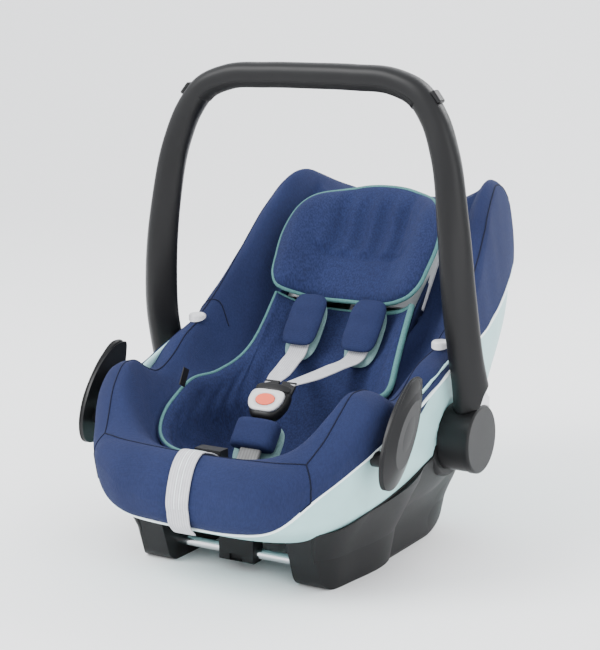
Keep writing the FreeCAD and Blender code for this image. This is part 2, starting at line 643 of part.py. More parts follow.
def make_handle():
    shares = [i / HANDLE_SECTIONS for i in range(HANDLE_SECTIONS + 1)]
    arch = smooth_solid(handle_rings(shares, 1.0, 0.0))
    grip_shares = [GRIP_FROM + (1 - GRIP_FROM) * i / GRIP_SECTIONS for i in range(GRIP_SECTIONS + 1)]
    grip_shift = -TOP_TALL * (1 - GRIP_BAND) - GRIP_PROUD
    grip = loft([closed_spline(ring) for ring in handle_rings(grip_shares, GRIP_BAND, grip_shift)])
    arch = arch.cut(grip)
    edge = handle_curve()
    lug_place = edge.getParameterByLength(edge.Length * LUG_AT)
    lug_along = edge.tangentAt(lug_place)
    lug_out = V(0, 1, 0).cross(lug_along)
    lug_out.normalize()
    lug_foot = edge.valueAt(lug_place) + lug_out * (TOP_TALL - 6) - V(0, LUG_WIDTH / 2, 0)
    half_lug = lug_along * (LUG_LENGTH / 2)
    lug_rise = lug_out * (LUG_PROUD + 6)
    lug = polygon_prism(
        (
            lug_foot - half_lug, lug_foot + half_lug, lug_foot + half_lug + lug_rise,
            lug_foot - half_lug + lug_rise,
        ),
        V(0, LUG_WIDTH, 0),
    )
    lug = keep_largest(rounded(lug, 2.5, lambda e: True).cut(arch))
    for name, side in SIDES:
        turn = (lambda s: s) if side > 0 else mirrored
        drum_zone = rod_x(DRUM_RADIUS, DRUM_X0 - 40, DRUM_X1, 0, HUB_Z)
        drum_zone = drum_zone.fuse(rod_x(CAP_RADIUS, DRUM_X1, CAP_FACE_X + 30, 0, HUB_Z))
        recess_top = RECESS_TOP_Z - BUTTON_HALF - BUTTON_GAP
        recess = box(
            CAP_FACE_X - RECESS_DEPTH, CAP_FACE_X + 20, RECESS_Y - BUTTON_HALF - BUTTON_GAP,
            RECESS_Y + BUTTON_HALF + BUTTON_GAP, HUB_Z, recess_top,
        )
        recess = recess.fuse(
            rod_x(BUTTON_HALF + BUTTON_GAP, CAP_FACE_X - RECESS_DEPTH, CAP_FACE_X + 20, RECESS_Y, recess_top)
        )
        arch = arch.cut(turn(drum_zone)).cut(turn(recess))
        inside_room = box(150, HOUSING_X1 + 9, -60, 60, 100, 200)
        arch = arch.cut(turn(inside_room))
        button_top = BUTTON_TOP_Z - BUTTON_HALF + 8
        button = box(
            CAP_FACE_X - BUTTON_THICK - 2, CAP_FACE_X - 2, RECESS_Y - BUTTON_HALF, RECESS_Y + BUTTON_HALF,
            BUTTON_BOTTOM_Z, BUTTON_TOP_Z,
        )
        button = button.fuse(
            rod_x(BUTTON_HALF, CAP_FACE_X - BUTTON_THICK - 2, CAP_FACE_X - 2, RECESS_Y, button_top)
        )
        button = button.cut(rod_x(CAP_RADIUS + BUTTON_GAP, 150, 260, 0, HUB_Z)).removeSplitter()
        parts["release_button_" + name] = turn(keep_largest(button))
        spring_x0 = CAP_FACE_X - RECESS_DEPTH
        spring_x1 = CAP_FACE_X - BUTTON_THICK - 2 - BUTTON_TRAVEL - 0.2
        spring_z = HUB_Z + CAP_RADIUS + SPRING_RADIUS + BUTTON_GAP
        spring = rod_x(SPRING_RADIUS, spring_x0, spring_x1, RECESS_Y, spring_z)
        bore = SPRING_RADIUS - SPRING_WALL
        spring = spring.cut(rod_x(bore, spring_x0 - 1, spring_x1 + 1, RECESS_Y, spring_z))
        parts["button_spring_" + name] = turn(spring)
        parts["canopy_hook_" + name] = turn(lug)
    parts["handle_arch"] = keep_largest(arch)
    parts["grip_insert"] = keep_largest(grip)


# ---------------------------------------------------------------- headrest
def make_headrest():
    half, back, mid, wing = HEADREST_HALF, HEADREST_BACK, HEADREST_MID, HEADREST_WING
    cushion_outline = [
        (-half, back), (half, back), (half, wing - 6), (half - 9, wing), (half - 24, wing - 8),
        (half - 36, mid + 6), (half - 58, mid), (-half + 58, mid), (-half + 36, mid + 6),
        (-half + 24, wing - 8), (-half + 9, wing), (-half, wing - 6),
    ]
    corners = [BACK.point(x, HEADREST_LOW, n) for x, n in cushion_outline]
    cushion = polygon_prism(corners, BACK.d * (HEADREST_HIGH - HEADREST_LOW))
    crown = Part.Face(Part.Wire([
        Part.makeLine(BACK.point(-half, HEADREST_LOW, -20), BACK.point(half, HEADREST_LOW, -20)),
        Part.makeLine(BACK.point(half, HEADREST_LOW, -20), BACK.point(half, HEADREST_HIGH - 95, -20)),
        Part.Arc(
            BACK.point(half, HEADREST_HIGH - 95, -20), BACK.point(0, HEADREST_HIGH, -20),
            BACK.point(-half, HEADREST_HIGH - 95, -20),
        ).toShape(),
        Part.makeLine(BACK.point(-half, HEADREST_HIGH - 95, -20), BACK.point(-half, HEADREST_LOW, -20)),
    ])).extrude(BACK.n * 120)
    parts["headrest_cushion"] = keep_largest(cushion.common(crown))
    low = back - CARRIER_GAP - CARRIER_THICK
    plate = BACK.block(
        -half + CARRIER_INSET, half - CARRIER_INSET, HEADREST_LOW + 4, HEADREST_HIGH - 30,
        low, back - CARRIER_GAP,
    )
    parts["headrest_carrier"] = plate.common(crown)
    handle_block = BACK.block(
        -PULL_HALF, PULL_HALF, HEADREST_HIGH - 24, HEADREST_HIGH - 12, low, back - CARRIER_GAP
    )
    parts["headrest_grip"] = rounded(handle_block, 1.4, lambda e: True)
    for name, side in SIDES:
        x = side * PAD_X
        x0, x1 = x - PAD_WIDTH / 2, x + PAD_WIDTH / 2
        top = BACK.block(x0, x1, PAD_LOW, PAD_HIGH, STRAP_N + PAD_ROOM + STRAP_THICK, PAD_TOP_N)
        parts["shoulder_pad_" + name] = rounded(top, 2.0, lambda e: True)
        low_pad = BACK.block(x0 + 2, x1 - 2, PAD_LOW - 8, PAD_HIGH, PAD_LOW_N, STRAP_N - PAD_ROOM)
        parts["pad_backing_" + name] = rounded(low_pad, 1.5, lambda e: True)
        strap = BACK.block(
            x - STRAP_WIDTH / 2, x + STRAP_WIDTH / 2, STRAP_UPPER_LOW, HEADREST_LOW - 5,
            STRAP_N, STRAP_N + STRAP_THICK,
        )
        parts["shoulder_strap_" + name] = strap


# ---------------------------------------------------------------- buckle and crotch
def oval_prism(frame, half_x, half_d, n0, n1):
    points = []
    for i in range(16):
        turn = 2 * math.pi * i / 16
        points.append(frame.point(half_x * math.cos(turn), half_d * math.sin(turn), n0))
    return Part.Face(closed_spline(points)).extrude(frame.n * (n1 - n0))


def make_buckle():
    stalk = STALK.block(-STALK_WIDTH / 2, STALK_WIDTH / 2, 0, STALK_LENGTH, 0, STALK_THICK)
    half = CROTCH_PAD_WIDTH / 2
    pad = STALK.block(-half, half, CROTCH_PAD_LOW, CROTCH_PAD_HIGH, STALK_THICK + 0.6, STALK_THICK + 10)
    parts["crotch_pad"] = rounded(pad, 3.5, lambda e: True)
    backing = STALK.block(-half - 3, half + 3, CROTCH_PAD_LOW - 14, CROTCH_PAD_HIGH + 6, -6, -0.6)
    backing = rounded(backing, 2.0, lambda e: True)
    half_x = BUCKLE_WIDTH / 2
    half_d = BUCKLE_LENGTH / 2
    foot_x = half_x * BUCKLE_FOOT
    outline = [
        (-half_x, half_d), (half_x, half_d), (half_x - 1, -4), (foot_x, -half_d), (-foot_x, -half_d),
        (-half_x + 1, -4),
    ]
    corners = [BUCKLE.point(x, d, -BUCKLE_THICK / 2) for x, d in outline]
    housing = polygon_prism(corners, BUCKLE.n * BUCKLE_THICK)
    housing = rounded(housing, 3.0, lambda e: True)
    well = oval_prism(BUCKLE, RED_HALF_WIDTH + 0.4, RED_HALF_LENGTH + 0.4, BUCKLE_WELL_N, BUCKLE_THICK)
    housing = housing.cut(well)
    red_low = BUCKLE_WELL_N + RED_TRAVEL + BUCKLE_SPRING + 0.1
    red = oval_prism(BUCKLE, RED_HALF_WIDTH, RED_HALF_LENGTH, red_low, BUCKLE_THICK / 2 + 1.2)
    parts["buckle_button"] = red
    spring = oval_prism(BUCKLE, SPRING_RADIUS, SPRING_RADIUS, BUCKLE_WELL_N, BUCKLE_WELL_N + BUCKLE_SPRING)
    bore = SPRING_RADIUS - SPRING_WALL
    parts["button_spring_buckle"] = spring.cut(oval_prism(BUCKLE, bore, bore, 0, BUCKLE_THICK))
    strap_room = []
    for name, side in SIDES:
        x = side * TONGUE_X
        tongue = BUCKLE.block(
            x - TONGUE_WIDTH / 2, x + TONGUE_WIDTH / 2, half_d - TONGUE_IN, half_d + TONGUE_OUT,
            TONGUE_N - TONGUE_THICK / 2, TONGUE_N + TONGUE_THICK / 2,
        )
        slit = BUCKLE.block(
            x - TONGUE_WIDTH / 2 - 0.4, x + TONGUE_WIDTH / 2 + 0.4, half_d - TONGUE_IN - 0.4, half_d + 1,
            TONGUE_N - TONGUE_THICK / 2 - 0.4, TONGUE_N + TONGUE_THICK / 2 + 0.4,
        )
        strap_room.append(slit)
        start = BUCKLE.point(x, half_d + TONGUE_OUT, TONGUE_N)
        mouth = BACK.point(side * PAD_X, PAD_LOW, STRAP_N + STRAP_THICK / 2)
        run = mouth - start
        end = start + run * LOWER_STRAP
        across = V(1, 0, 0)
        up = run.cross(across)
        if up.z < 0:
            up = up * -1
        up.normalize()
        corners = [
            start + across * (side_x * STRAP_WIDTH / 2) + up * (n * STRAP_THICK / 2)
            for side_x, n in ((-TONGUE_END, -1), (TONGUE_END, -1), (TONGUE_END, 1), (-TONGUE_END, 1))
        ]
        lower = polygon_prism(corners, end - start)
        lower = lower.cut(tongue)
        parts["tongue_" + name] = tongue
        parts["lower_strap_" + name] = keep_largest(lower)
    for slit in strap_room:
        housing = housing.cut(slit)
    buckle_room = BUCKLE.block(-60, 60, -half_d - 0.3, half_d + 20, -BUCKLE_THICK / 2 - 0.3, 40)
    parts["crotch_stalk"] = keep_largest(stalk.cut(buckle_room))
    parts["crotch_pad_backing"] = keep_largest(backing.cut(buckle_room))
    parts["buckle_housing"] = keep_largest(housing)


# ---------------------------------------------------------------- small parts
def make_guides():
    turn = math.radians(GUIDE_ANGLE)
    half_l, half_w = GUIDE_LENGTH / 2, GUIDE_WIDTH / 2
    leaf = []
    for along, across in (
        (1.0, 0.0), (0.86, 0.36), (0.5, 0.78), (0.0, 0.98), (-0.45, 0.9), (-0.82, 0.58), (-1.0, 0.05),
        (-0.9, -0.45), (-0.55, -0.82), (0.0, -0.9), (0.5, -0.66), (0.87, -0.3),
    ):
        a, b = along * half_l, across * half_w
        y = GUIDE_CENTRE[0] + a * math.cos(turn) - b * math.sin(turn)
        z = GUIDE_CENTRE[1] + a * math.sin(turn) + b * math.cos(turn)
        leaf.append((y, z))
    base = Part.Face(closed_spline([V(GUIDE_X0, y, z) for y, z in leaf])).extrude(V(GUIDE_THICK, 0, 0))
    small = [
        V(GUIDE_X0 + GUIDE_THICK + GUIDE_DOME, GUIDE_CENTRE[0] + (y - GUIDE_CENTRE[0]) * 0.62,
          GUIDE_CENTRE[1] + (z - GUIDE_CENTRE[1]) * 0.62)
        for y, z in leaf
    ]
    large = closed_spline([V(GUIDE_X0 + GUIDE_THICK, y, z) for y, z in leaf])
    dome = Part.makeLoft([large, closed_spline(small)], True, True)
    stem_y = GUIDE_CENTRE[0] - math.cos(turn) * half_l * 0.5
    stem_z = GUIDE_CENTRE[1] - math.sin(turn) * half_l * 0.5
    stem = rod_x(GUIDE_STEM_RADIUS, 150, GUIDE_X0 + 1, stem_y, stem_z)
    keep_out = plan_loft(SHELL_LEVELS, SHELL_POWER, SHELL_WIDEST_Y, COVER_PROUD + 0.3, COVER_PROUD_END + 0.3)
    guide = keep_largest(base.fuse(dome).fuse(stem).cut(keep_out))
    parts["belt_guide_right"] = guide
    parts["belt_guide_left"] = mirrored(guide)


def make_small_parts():
    for name, side in SIDES:
        stud = Part.makeCylinder(STUD_RADIUS, STUD_HEIGHT + 6, V(side * STUD_X, STUD_Y, 246))
        stud = rounded(stud, 4.0, lambda e: e.CenterOfMass.z > 250)
        parts["canopy_stud_" + name] = keep_largest(stud.cut(parts["seat_cover"]))
    half = ADJUST_STRAP_WIDTH / 2
    outer = [V(-half, y, z) for y, z in ADJUST_LINE]
    curve = Part.BSplineCurve()
    curve.interpolate(outer)
    inner = []
    for i in range(12):
        at = curve.FirstParameter + (curve.LastParameter - curve.FirstParameter) * i / 11
        point = curve.value(at)
        along = curve.tangent(at)[0]
        side_way = V(1, 0, 0).cross(along)
        side_way.normalize()
        inner.append(point - side_way * ADJUST_STRAP_THICK)
    inner_edge = open_spline(inner)
    wire = Part.Wire([
        curve.toShape(), Part.makeLine(outer[-1], inner[-1]), inner_edge, Part.makeLine(inner[0], outer[0]),
    ])
    strap = Part.Face(wire).extrude(V(ADJUST_STRAP_WIDTH, 0, 0))
    parts["adjuster_strap"] = keep_largest(strap.cut(parts["seat_cover"]).cut(parts["seat_shell"]))
    w, d, h = ADJUSTER_SIZE
    y, z = ADJUSTER_AT
    housing = box(-w / 2, w / 2, y - d, y, z, z + h)
    well = box(-w / 2 + 5, w / 2 - 5, y - 8, y + 1, z + 5, z + h - 5)
    cover = parts["seat_cover"]
    housing = housing.cut(well)
    room = box(
        -w / 2 - LINER_GAP, w / 2 + LINER_GAP, y - d - LINER_GAP, y + ADJUSTER_ROOM,
        z - LINER_GAP, z + h + LINER_GAP,
    )
    parts["seat_cover"] = keep_largest(cover.cut(room))
    parts["foam_liner"] = keep_largest(parts["foam_liner"].cut(room))
    parts["adjuster_housing"] = housing
    parts["adjuster_lever"] = box(
        -w / 2 + 5.4, w / 2 - 5.4, y - 8 + LEVER_TRAVEL + 0.6, y + 1.5, z + 5.4, z + h - 5.4
    )
    tag = Part.makeBox(*TAG_SIZE)
    tag.rotate(V(0, 0, 0), V(1, 0, 0), TAG_TURN)
    tag.translate(TAG_AT)
    parts["fabric_tag"] = tag
    half_w = BRACKET_WIDTH / 2
    half_h = BRACKET_HEIGHT / 2
    far = -BRACKET_GAP - BRACKET_WALL
    bracket = REAR.block(-half_w, half_w, -half_h, half_h, far, 6)
    inner_w = half_w - BRACKET_WALL
    bracket = bracket.cut(REAR.block(-inner_w, inner_w, -60, 60, -BRACKET_GAP, 30))
    bracket = rounded(bracket, 2.0, lambda e: REAR.depth(e.CenterOfMass) < far + 0.1)
    parts["rear_belt_guide"] = keep_largest(bracket.cut(keep_out_shell()))


def main():
    make_seat()
    make_base()
    make_hub()
    make_handle()
    make_headrest()
    make_buckle()
    make_guides()
    make_small_parts()
    everything = Part.makeCompound(list(parts.values()))
    bounds = everything.optimalBoundingBox(False)
    shift = round(-(bounds.YMin + bounds.YMax) / 2, 1)
    print("bounds", bounds, "hub axis y", shift, "z", HUB_Z)
    os.makedirs("parts", exist_ok=True)
    for name, shape in parts.items():
        if not shape.isValid():
            print("not valid:", name)
        placed = shape.copy()
        placed.translate(V(0, shift, 0))
        placed.exportStep("parts/" + name + ".step")
        print(name, len(shape.Solids), round(shape.Volume / 1000, 1), "cm3")


main()
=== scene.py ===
# %% [markdown]
# # Infant car seat: the looks round a fixed frame
# The frame holds every moving and load-carrying part at its real size and place. This
# lesson gives it its skin: sewn covers, moulded shells, webbing and soft grips. Most new
# pieces are surfaces of two parameters, worked out with numpy as whole arrays.

import json
import math

import bmesh
import bpy
import numpy as np
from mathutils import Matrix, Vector
from mathutils.bvhtree import BVHTree


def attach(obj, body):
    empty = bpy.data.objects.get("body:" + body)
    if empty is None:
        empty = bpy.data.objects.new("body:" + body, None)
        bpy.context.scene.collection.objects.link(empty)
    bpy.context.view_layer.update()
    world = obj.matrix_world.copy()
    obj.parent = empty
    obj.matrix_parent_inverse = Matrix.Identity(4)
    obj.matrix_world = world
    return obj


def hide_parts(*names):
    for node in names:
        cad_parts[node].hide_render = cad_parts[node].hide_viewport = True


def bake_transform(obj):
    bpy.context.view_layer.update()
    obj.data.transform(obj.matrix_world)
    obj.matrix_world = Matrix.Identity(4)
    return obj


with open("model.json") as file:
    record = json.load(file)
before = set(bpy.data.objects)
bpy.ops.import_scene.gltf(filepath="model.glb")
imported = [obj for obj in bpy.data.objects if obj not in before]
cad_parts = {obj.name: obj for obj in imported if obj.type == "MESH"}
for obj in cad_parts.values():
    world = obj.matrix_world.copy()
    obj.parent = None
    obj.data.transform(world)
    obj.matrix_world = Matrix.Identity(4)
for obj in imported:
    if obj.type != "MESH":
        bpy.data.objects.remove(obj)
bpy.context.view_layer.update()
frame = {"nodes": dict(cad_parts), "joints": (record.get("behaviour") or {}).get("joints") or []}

# %% [markdown]
# ## Where things are
# Shapes are written in millimetres from the handle's hub axis, the one line on which the
# whole seat is set out. The backrest has a tilted frame of its own: `d` runs up the
# backrest, `n` stands out of it. Both directions are read from the frame's joints.

# %% Hub axis and backrest frame
joints = {joint["name"]: joint for joint in frame["joints"]}
MM = 0.001
HUB_Y = joints["handle_tilt"]["pos_m"][1] / MM
HUB_Z = joints["handle_tilt"]["pos_m"][2] / MM
UP_BACK = np.array(joints["headrest_height"]["axis"], float)
OUT_OF_BACK = np.array([0.0, -UP_BACK[2], UP_BACK[1]])
BACK_START = np.array([0.0, 0.0, 150.0])


def place(points):
    """Millimetres from the hub axis to metres in the row frame."""
    return (np.asarray(points, float) + np.array([0.0, HUB_Y, 0.0])) * MM


def tilted_frame(start, up, out):
    """Function of x across, d up the slope and n out of it: start + d*up + n*out."""
    def at(x, d, n):
        x, d, n = np.broadcast_arrays(np.asarray(x, float), d, n)
        points = np.array(start, float) + d[..., None] * up + n[..., None] * out
        points[..., 0] += x
        return points

    return at


def slope_frame(start, angle):
    """The tilted frame whose slope rises at an angle in degrees."""
    c, s = math.cos(math.radians(angle)), math.sin(math.radians(angle))
    return tilted_frame(start, np.array([0.0, c, s]), np.array([0.0, -s, c]))


on_back = tilted_frame(BACK_START, UP_BACK, OUT_OF_BACK)
print("hub axis at y", round(HUB_Y, 1), "z", round(HUB_Z, 1))

# %% [markdown]
# ## Curves
# A few given values per line are enough if what joins them is smooth. `follow` is a
# cubic through values over one axis, and `flow` a cubic through points in space, sampled
# at even steps of length.


# %% Smooth lines through a few values
def cubic(t, xs, ys, slope):
    """Cubics that meet the values ys at xs with the given slopes."""
    i = np.clip(np.searchsorted(xs, t, side="right") - 1, 0, len(xs) - 2)
    h = xs[i + 1] - xs[i]
    s = (t - xs[i]) / h
    return (
        ys[i] * (1 + 2 * s) * (1 - s) ** 2
        + ys[i + 1] * s**2 * (3 - 2 * s)
        + slope[i] * h * s * (1 - s) ** 2
        - slope[i + 1] * h * s**2 * (1 - s)
    )


def follow(t, knots):
    """Cubic through (t, value) knots; its slope is the mean of the two sides', 0 at a turn."""
    xs, ys = np.array(knots, float).T
    rise = np.diff(ys) / np.diff(xs)
    slope = np.concatenate([[rise[0]], (rise[:-1] + rise[1:]) / 2, [rise[-1]]])
    flat = np.concatenate([[False], rise[:-1] * rise[1:] <= 0, [False]])
    return cubic(np.clip(t, xs[0], xs[-1]), xs, ys, np.where(flat, 0.0, slope))


def length_along(line):
    """Length of a line of points up to each of them."""
    return np.concatenate([[0], np.cumsum(np.linalg.norm(np.diff(line, axis=0), axis=1))])


def even(points, count):
    """The same line, sampled at count even steps of length."""
    length = length_along(points)
    at = np.linspace(0, length[-1], count)
    return np.stack([np.interp(at, length, points[:, k]) for k in range(points.shape[1])], axis=1)


def flow(points, count, closed=False):
    """Smooth line through points: a cubic over chord length on each axis."""
    points = np.array(points, float)
    if closed:
        points = np.concatenate([points[-3:], points, points[:4]])
    chord = length_along(points)
    start, stop = (chord[3], chord[-4]) if closed else (chord[0], chord[-1])
    at = np.linspace(start, stop, 40 * count)
    columns = [cubic(at, chord, values, np.gradient(values, chord)) for values in points.T]
    line = even(np.stack(columns, axis=1), count + (1 if closed else 0))
    return line[:-1] if closed else line


def ease(t):
    """0 before 0, 1 after 1 and a smooth S in between."""
    t = np.clip(t, 0, 1)
    return t * t * (3 - 2 * t)


def unit(vectors):
    """The same directions at length 1."""
    return vectors / np.linalg.norm(vectors, axis=-1)[..., None]


def full_turn(count):
    """Angles of a whole turn in even steps."""
    return np.linspace(0, 2 * np.pi, count, endpoint=False)


def bow(wave, exponent):
    """A sine or cosine squared off: sign(wave) * |wave|^exponent."""
    return np.sign(wave) * np.abs(wave) ** exponent


def ripple(points, size, seed):
    """Soft unevenness of cloth over foam: a sum of slow sine waves, about size high."""
    rng = np.random.default_rng(seed)
    waves, usual_height = 7, 2.6
    total = 0.0
    for _ in range(waves):
        wave = rng.normal(size=3) * rng.uniform(0.02, 0.075)
        total = total + np.sin(points @ wave + rng.uniform(0, 6.28))
    return total * size / usual_height


# %% [markdown]
# ## From arrays to pieces
# `surface` turns a grid of points into a mesh. `pillow` closes a front and a back over one
# outline: rings shrink from the outline to its middle, and the thickness falls to nothing
# at the edge like a quarter circle. `tube` carries a round section along a line.


# %% Mesh builders
def make_piece(name, points, faces, material, body="root", uv=None, slot=None):
    """Mesh of points (mm) and faces, smooth shaded, normals outwards, riding on a body."""
    mesh = bpy.data.meshes.new(name)
    mesh.from_pydata(place(points).tolist(), [], [list(face) for face in faces])
    if uv is not None:
        layer = mesh.uv_layers.new(name="UVMap")
        corner = np.zeros(len(mesh.loops), np.int32)
        mesh.loops.foreach_get("vertex_index", corner)
        layer.data.foreach_set("uv", np.asarray(uv, float)[corner].ravel())
    shape = bmesh.new()
    shape.from_mesh(mesh)
    bmesh.ops.remove_doubles(shape, verts=shape.verts, dist=1e-6)
    bmesh.ops.recalc_face_normals(shape, faces=shape.faces)
    shape.to_mesh(mesh)
    shape.free()
    mesh.shade_smooth()
    piece = bpy.data.objects.new(name, mesh)
    bpy.context.scene.collection.objects.link(piece)
    for one in material if isinstance(material, (list, tuple)) else [material]:
        mesh.materials.append(one)
    if body:
        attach(piece, body)
    print(f"{name}: {len(mesh.vertices)} points, {len(mesh.polygons)} faces")
    return piece


def grid_faces(rows, columns, wrap_rows=False, wrap_columns=False, start=0):
    """Quads of a grid whose point (i, j) is number start + i*columns + j."""
    i = np.arange(rows if wrap_rows else rows - 1)
    j = np.arange(columns if wrap_columns else columns - 1)
    i, j = np.meshgrid(i, j, indexing="ij")
    i2, j2 = (i + 1) % rows, (j + 1) % columns
    quads = np.stack([i * columns + j, i2 * columns + j, i2 * columns + j2, i * columns + j2], axis=-1)
    return (quads.reshape(-1, 4) + start).tolist()


def surface(name, grid, material, wrap_rows=False, wrap_columns=False, caps=False, **rest):
    """Mesh of a (rows, columns, 3) grid; caps close the first and last row with fans."""
    rows, columns = grid.shape[:2]
    points = grid.reshape(-1, 3)
    faces = grid_faces(rows, columns, wrap_rows, wrap_columns)
    if caps:
        ends = np.stack([grid[0].mean(0), grid[-1].mean(0)])
        first, last = len(points), len(points) + 1
        points = np.concatenate([points, ends])
        for j in range(columns):
            k = (j + 1) % columns
            faces.append([first, k, j])
            faces.append([last, (rows - 1) * columns + j, (rows - 1) * columns + k])
        if rest.get("uv") is not None:
            rest["uv"] = np.concatenate([rest["uv"], np.zeros((2, 2))])
    return make_piece(name, points, faces, material, **rest)


def line_frames(line, reference, closed=False):
    """Unit side and up vectors along a line: side = along x reference, up = side x along."""
    if closed:
        along = np.roll(line, -1, 0) - np.roll(line, 1, 0)
    else:
        along = np.gradient(line, axis=0)
    along = unit(along)
    side = np.cross(along, reference)
    side = unit(side)
    return side, np.cross(side, along)


def tube(name, line, radius, material, reference=(0.13, 0.21, 1.0), closed=False, sides=10, **rest):
    """Round section carried along a line: centre + radius*(cos*side + sin*up)."""
    side, up = line_frames(line, np.array(reference), closed)
    turn = full_turn(sides)
    radius = np.broadcast_to(np.asarray(radius, float), len(line))
    ring = np.cos(turn)[None, :, None] * side[:, None] + np.sin(turn)[None, :, None] * up[:, None]
    grid = line[:, None] + radius[:, None, None] * ring
    return surface(name, grid, material, wrap_rows=closed, wrap_columns=True, caps=not closed, **rest)


def pillow(name, outline, front, back, at, material, rings=22, round_power=4.0, **rest):
    """Closed pad over an outline of (x, d): rings r*outline, height mid +- half*sqrt(1 - r^power).

    front(x, d) and back(x, d) give the two faces' heights; at(x, d, n) sets them in space.
    """
    outline = np.array(outline, float)
    middle = (outline.max(0) + outline.min(0)) / 2
    r = np.sin(np.linspace(0, np.pi / 2, rings + 1))[:, None]
    x = middle[0] + r * (outline[None, :, 0] - middle[0])
    d = middle[1] + r * (outline[None, :, 1] - middle[1])
    top, low = front(x, d), back(x, d)
    edge = (1 - r**round_power) ** 0.5
    centre, half = (top + low) / 2, (top - low) / 2
    upper = at(x, d, centre + half * edge)
    lower = at(x, d, centre - half * edge)
    count = len(outline)
    points = np.concatenate([upper.reshape(-1, 3), lower.reshape(-1, 3)])
    faces = grid_faces(rings + 1, count, wrap_columns=True)
    faces += grid_faces(rings + 1, count, wrap_columns=True, start=(rings + 1) * count)
    return make_piece(name, points, faces, material, **rest)


def level(height):
    """A flat face for pillow, at one height."""
    return lambda x, d: 0 * x + height


def colour_back(piece, at, split):
    """Second material on faces whose outward normal points away from the front."""
    front_way = at(0.0, 0.0, 1.0) - at(0.0, 0.0, 0.0)
    normals = np.zeros(len(piece.data.polygons) * 3)
    piece.data.polygons.foreach_get("normal", normals)
    behind = (normals.reshape(-1, 3) @ front_way.reshape(3)) < split
    piece.data.polygons.foreach_set("material_index", behind.astype(np.int32))


def round_box(half_x, half_d, power, centre=(0.0, 0.0)):
    """Superellipse outline: x = half*cos^(2/power), d = half*sin^(2/power)."""
    turn = full_turn(72)
    x = half_x * bow(np.cos(turn), 2 / power)
    d = half_d * bow(np.sin(turn), 2 / power)
    return np.stack([x + centre[0], d + centre[1]], axis=1)


# %% [markdown]
# ## Finishes
# Cloth is a weave: two crossing sets of ribs about a millimetre apart lift the surface, a
# stretched fine noise mixes light and dark yarn, and a slow noise keeps large areas from
# looking printed. Sheen gives the soft rim light of brushed yarn. Moulded plastic has a
# fine spark-eroded grain and is polished a little where hands and clothes rub its edges.


# %% Node helpers
def start_material(name, roughness, **constants):
    """Material with a Principled shader whose plain values are set on its own sockets."""
    material = bpy.data.materials.new(name)
    material.use_nodes = True
    tree = material.node_tree
    shader = tree.nodes["Principled BSDF"]
    shader.inputs["Roughness"].default_value = roughness
    for socket, value in constants.items():
        shader.inputs[socket.replace("_", " ")].default_value = value
    return material, tree, shader


def coordinates(tree, scale=(1, 1, 1), output="Object"):
    source = tree.nodes.new("ShaderNodeTexCoord")
    mapping = tree.nodes.new("ShaderNodeMapping")
    mapping.inputs["Scale"].default_value = scale
    tree.links.new(source.outputs[output], mapping.inputs["Vector"])
    return mapping.outputs["Vector"]


def noise(tree, vector, scale, detail):
    node = tree.nodes.new("ShaderNodeTexNoise")
    node.inputs["Scale"].default_value = scale
    node.inputs["Detail"].default_value = detail
    tree.links.new(vector, node.inputs["Vector"])
    return node.outputs["Fac"]


def bands(tree, vector, direction, period):
    """Sine ribs at right angles to an axis; the node's own step is pi/10 of a unit."""
    node = tree.nodes.new("ShaderNodeTexWave")
    node.bands_direction = direction
    node.inputs["Scale"].default_value = math.pi / 10 / period
    node.inputs["Distortion"].default_value = 0.6
    node.inputs["Detail"].default_value = 1.0
    tree.links.new(vector, node.inputs["Vector"])
    return node.outputs["Fac"]


def sum_of(tree, total, *others):
    for other in others:
        node = tree.nodes.new("ShaderNodeMath")
        tree.links.new(total, node.inputs[0])
        tree.links.new(other, node.inputs[1])
        total = node.outputs[0]
    return total


def ramp(tree, factor, stops):
    """Colour that runs between two stops of (factor, colour)."""
    node = tree.nodes.new("ShaderNodeValToRGB")
    for k, (position, colour) in enumerate(stops):
        node.color_ramp.elements[k].position = position
        node.color_ramp.elements[k].color = (*colour, 1)
    tree.links.new(factor, node.inputs["Fac"])
    return node.outputs["Color"]


def mix_colour(tree, factor, first, second, blend="MIX"):
    node = tree.nodes.new("ShaderNodeMix")
    node.data_type = "RGBA"
    node.blend_type = blend
    for socket, value in ((node.inputs[0], factor), (node.inputs[6], first), (node.inputs[7], second)):
        if isinstance(value, bpy.types.NodeSocket):
            tree.links.new(value, socket)
        elif isinstance(value, tuple):
            socket.default_value = (*value, 1)
        else:
            socket.default_value = value
    return node.outputs[2]


def bump(tree, shader, height, distance, strength):
    node = tree.nodes.new("ShaderNodeBump")
    node.inputs["Strength"].default_value = strength
    node.inputs["Distance"].default_value = distance
    tree.links.new(height, node.inputs["Height"])
    tree.links.new(node.outputs["Normal"], shader.inputs["Normal"])


def scaled(colour, factor):
    return tuple(min(1.0, c * factor) for c in colour)


# %% Cloth, webbing and plastic
RIB_PITCH = 0.0011


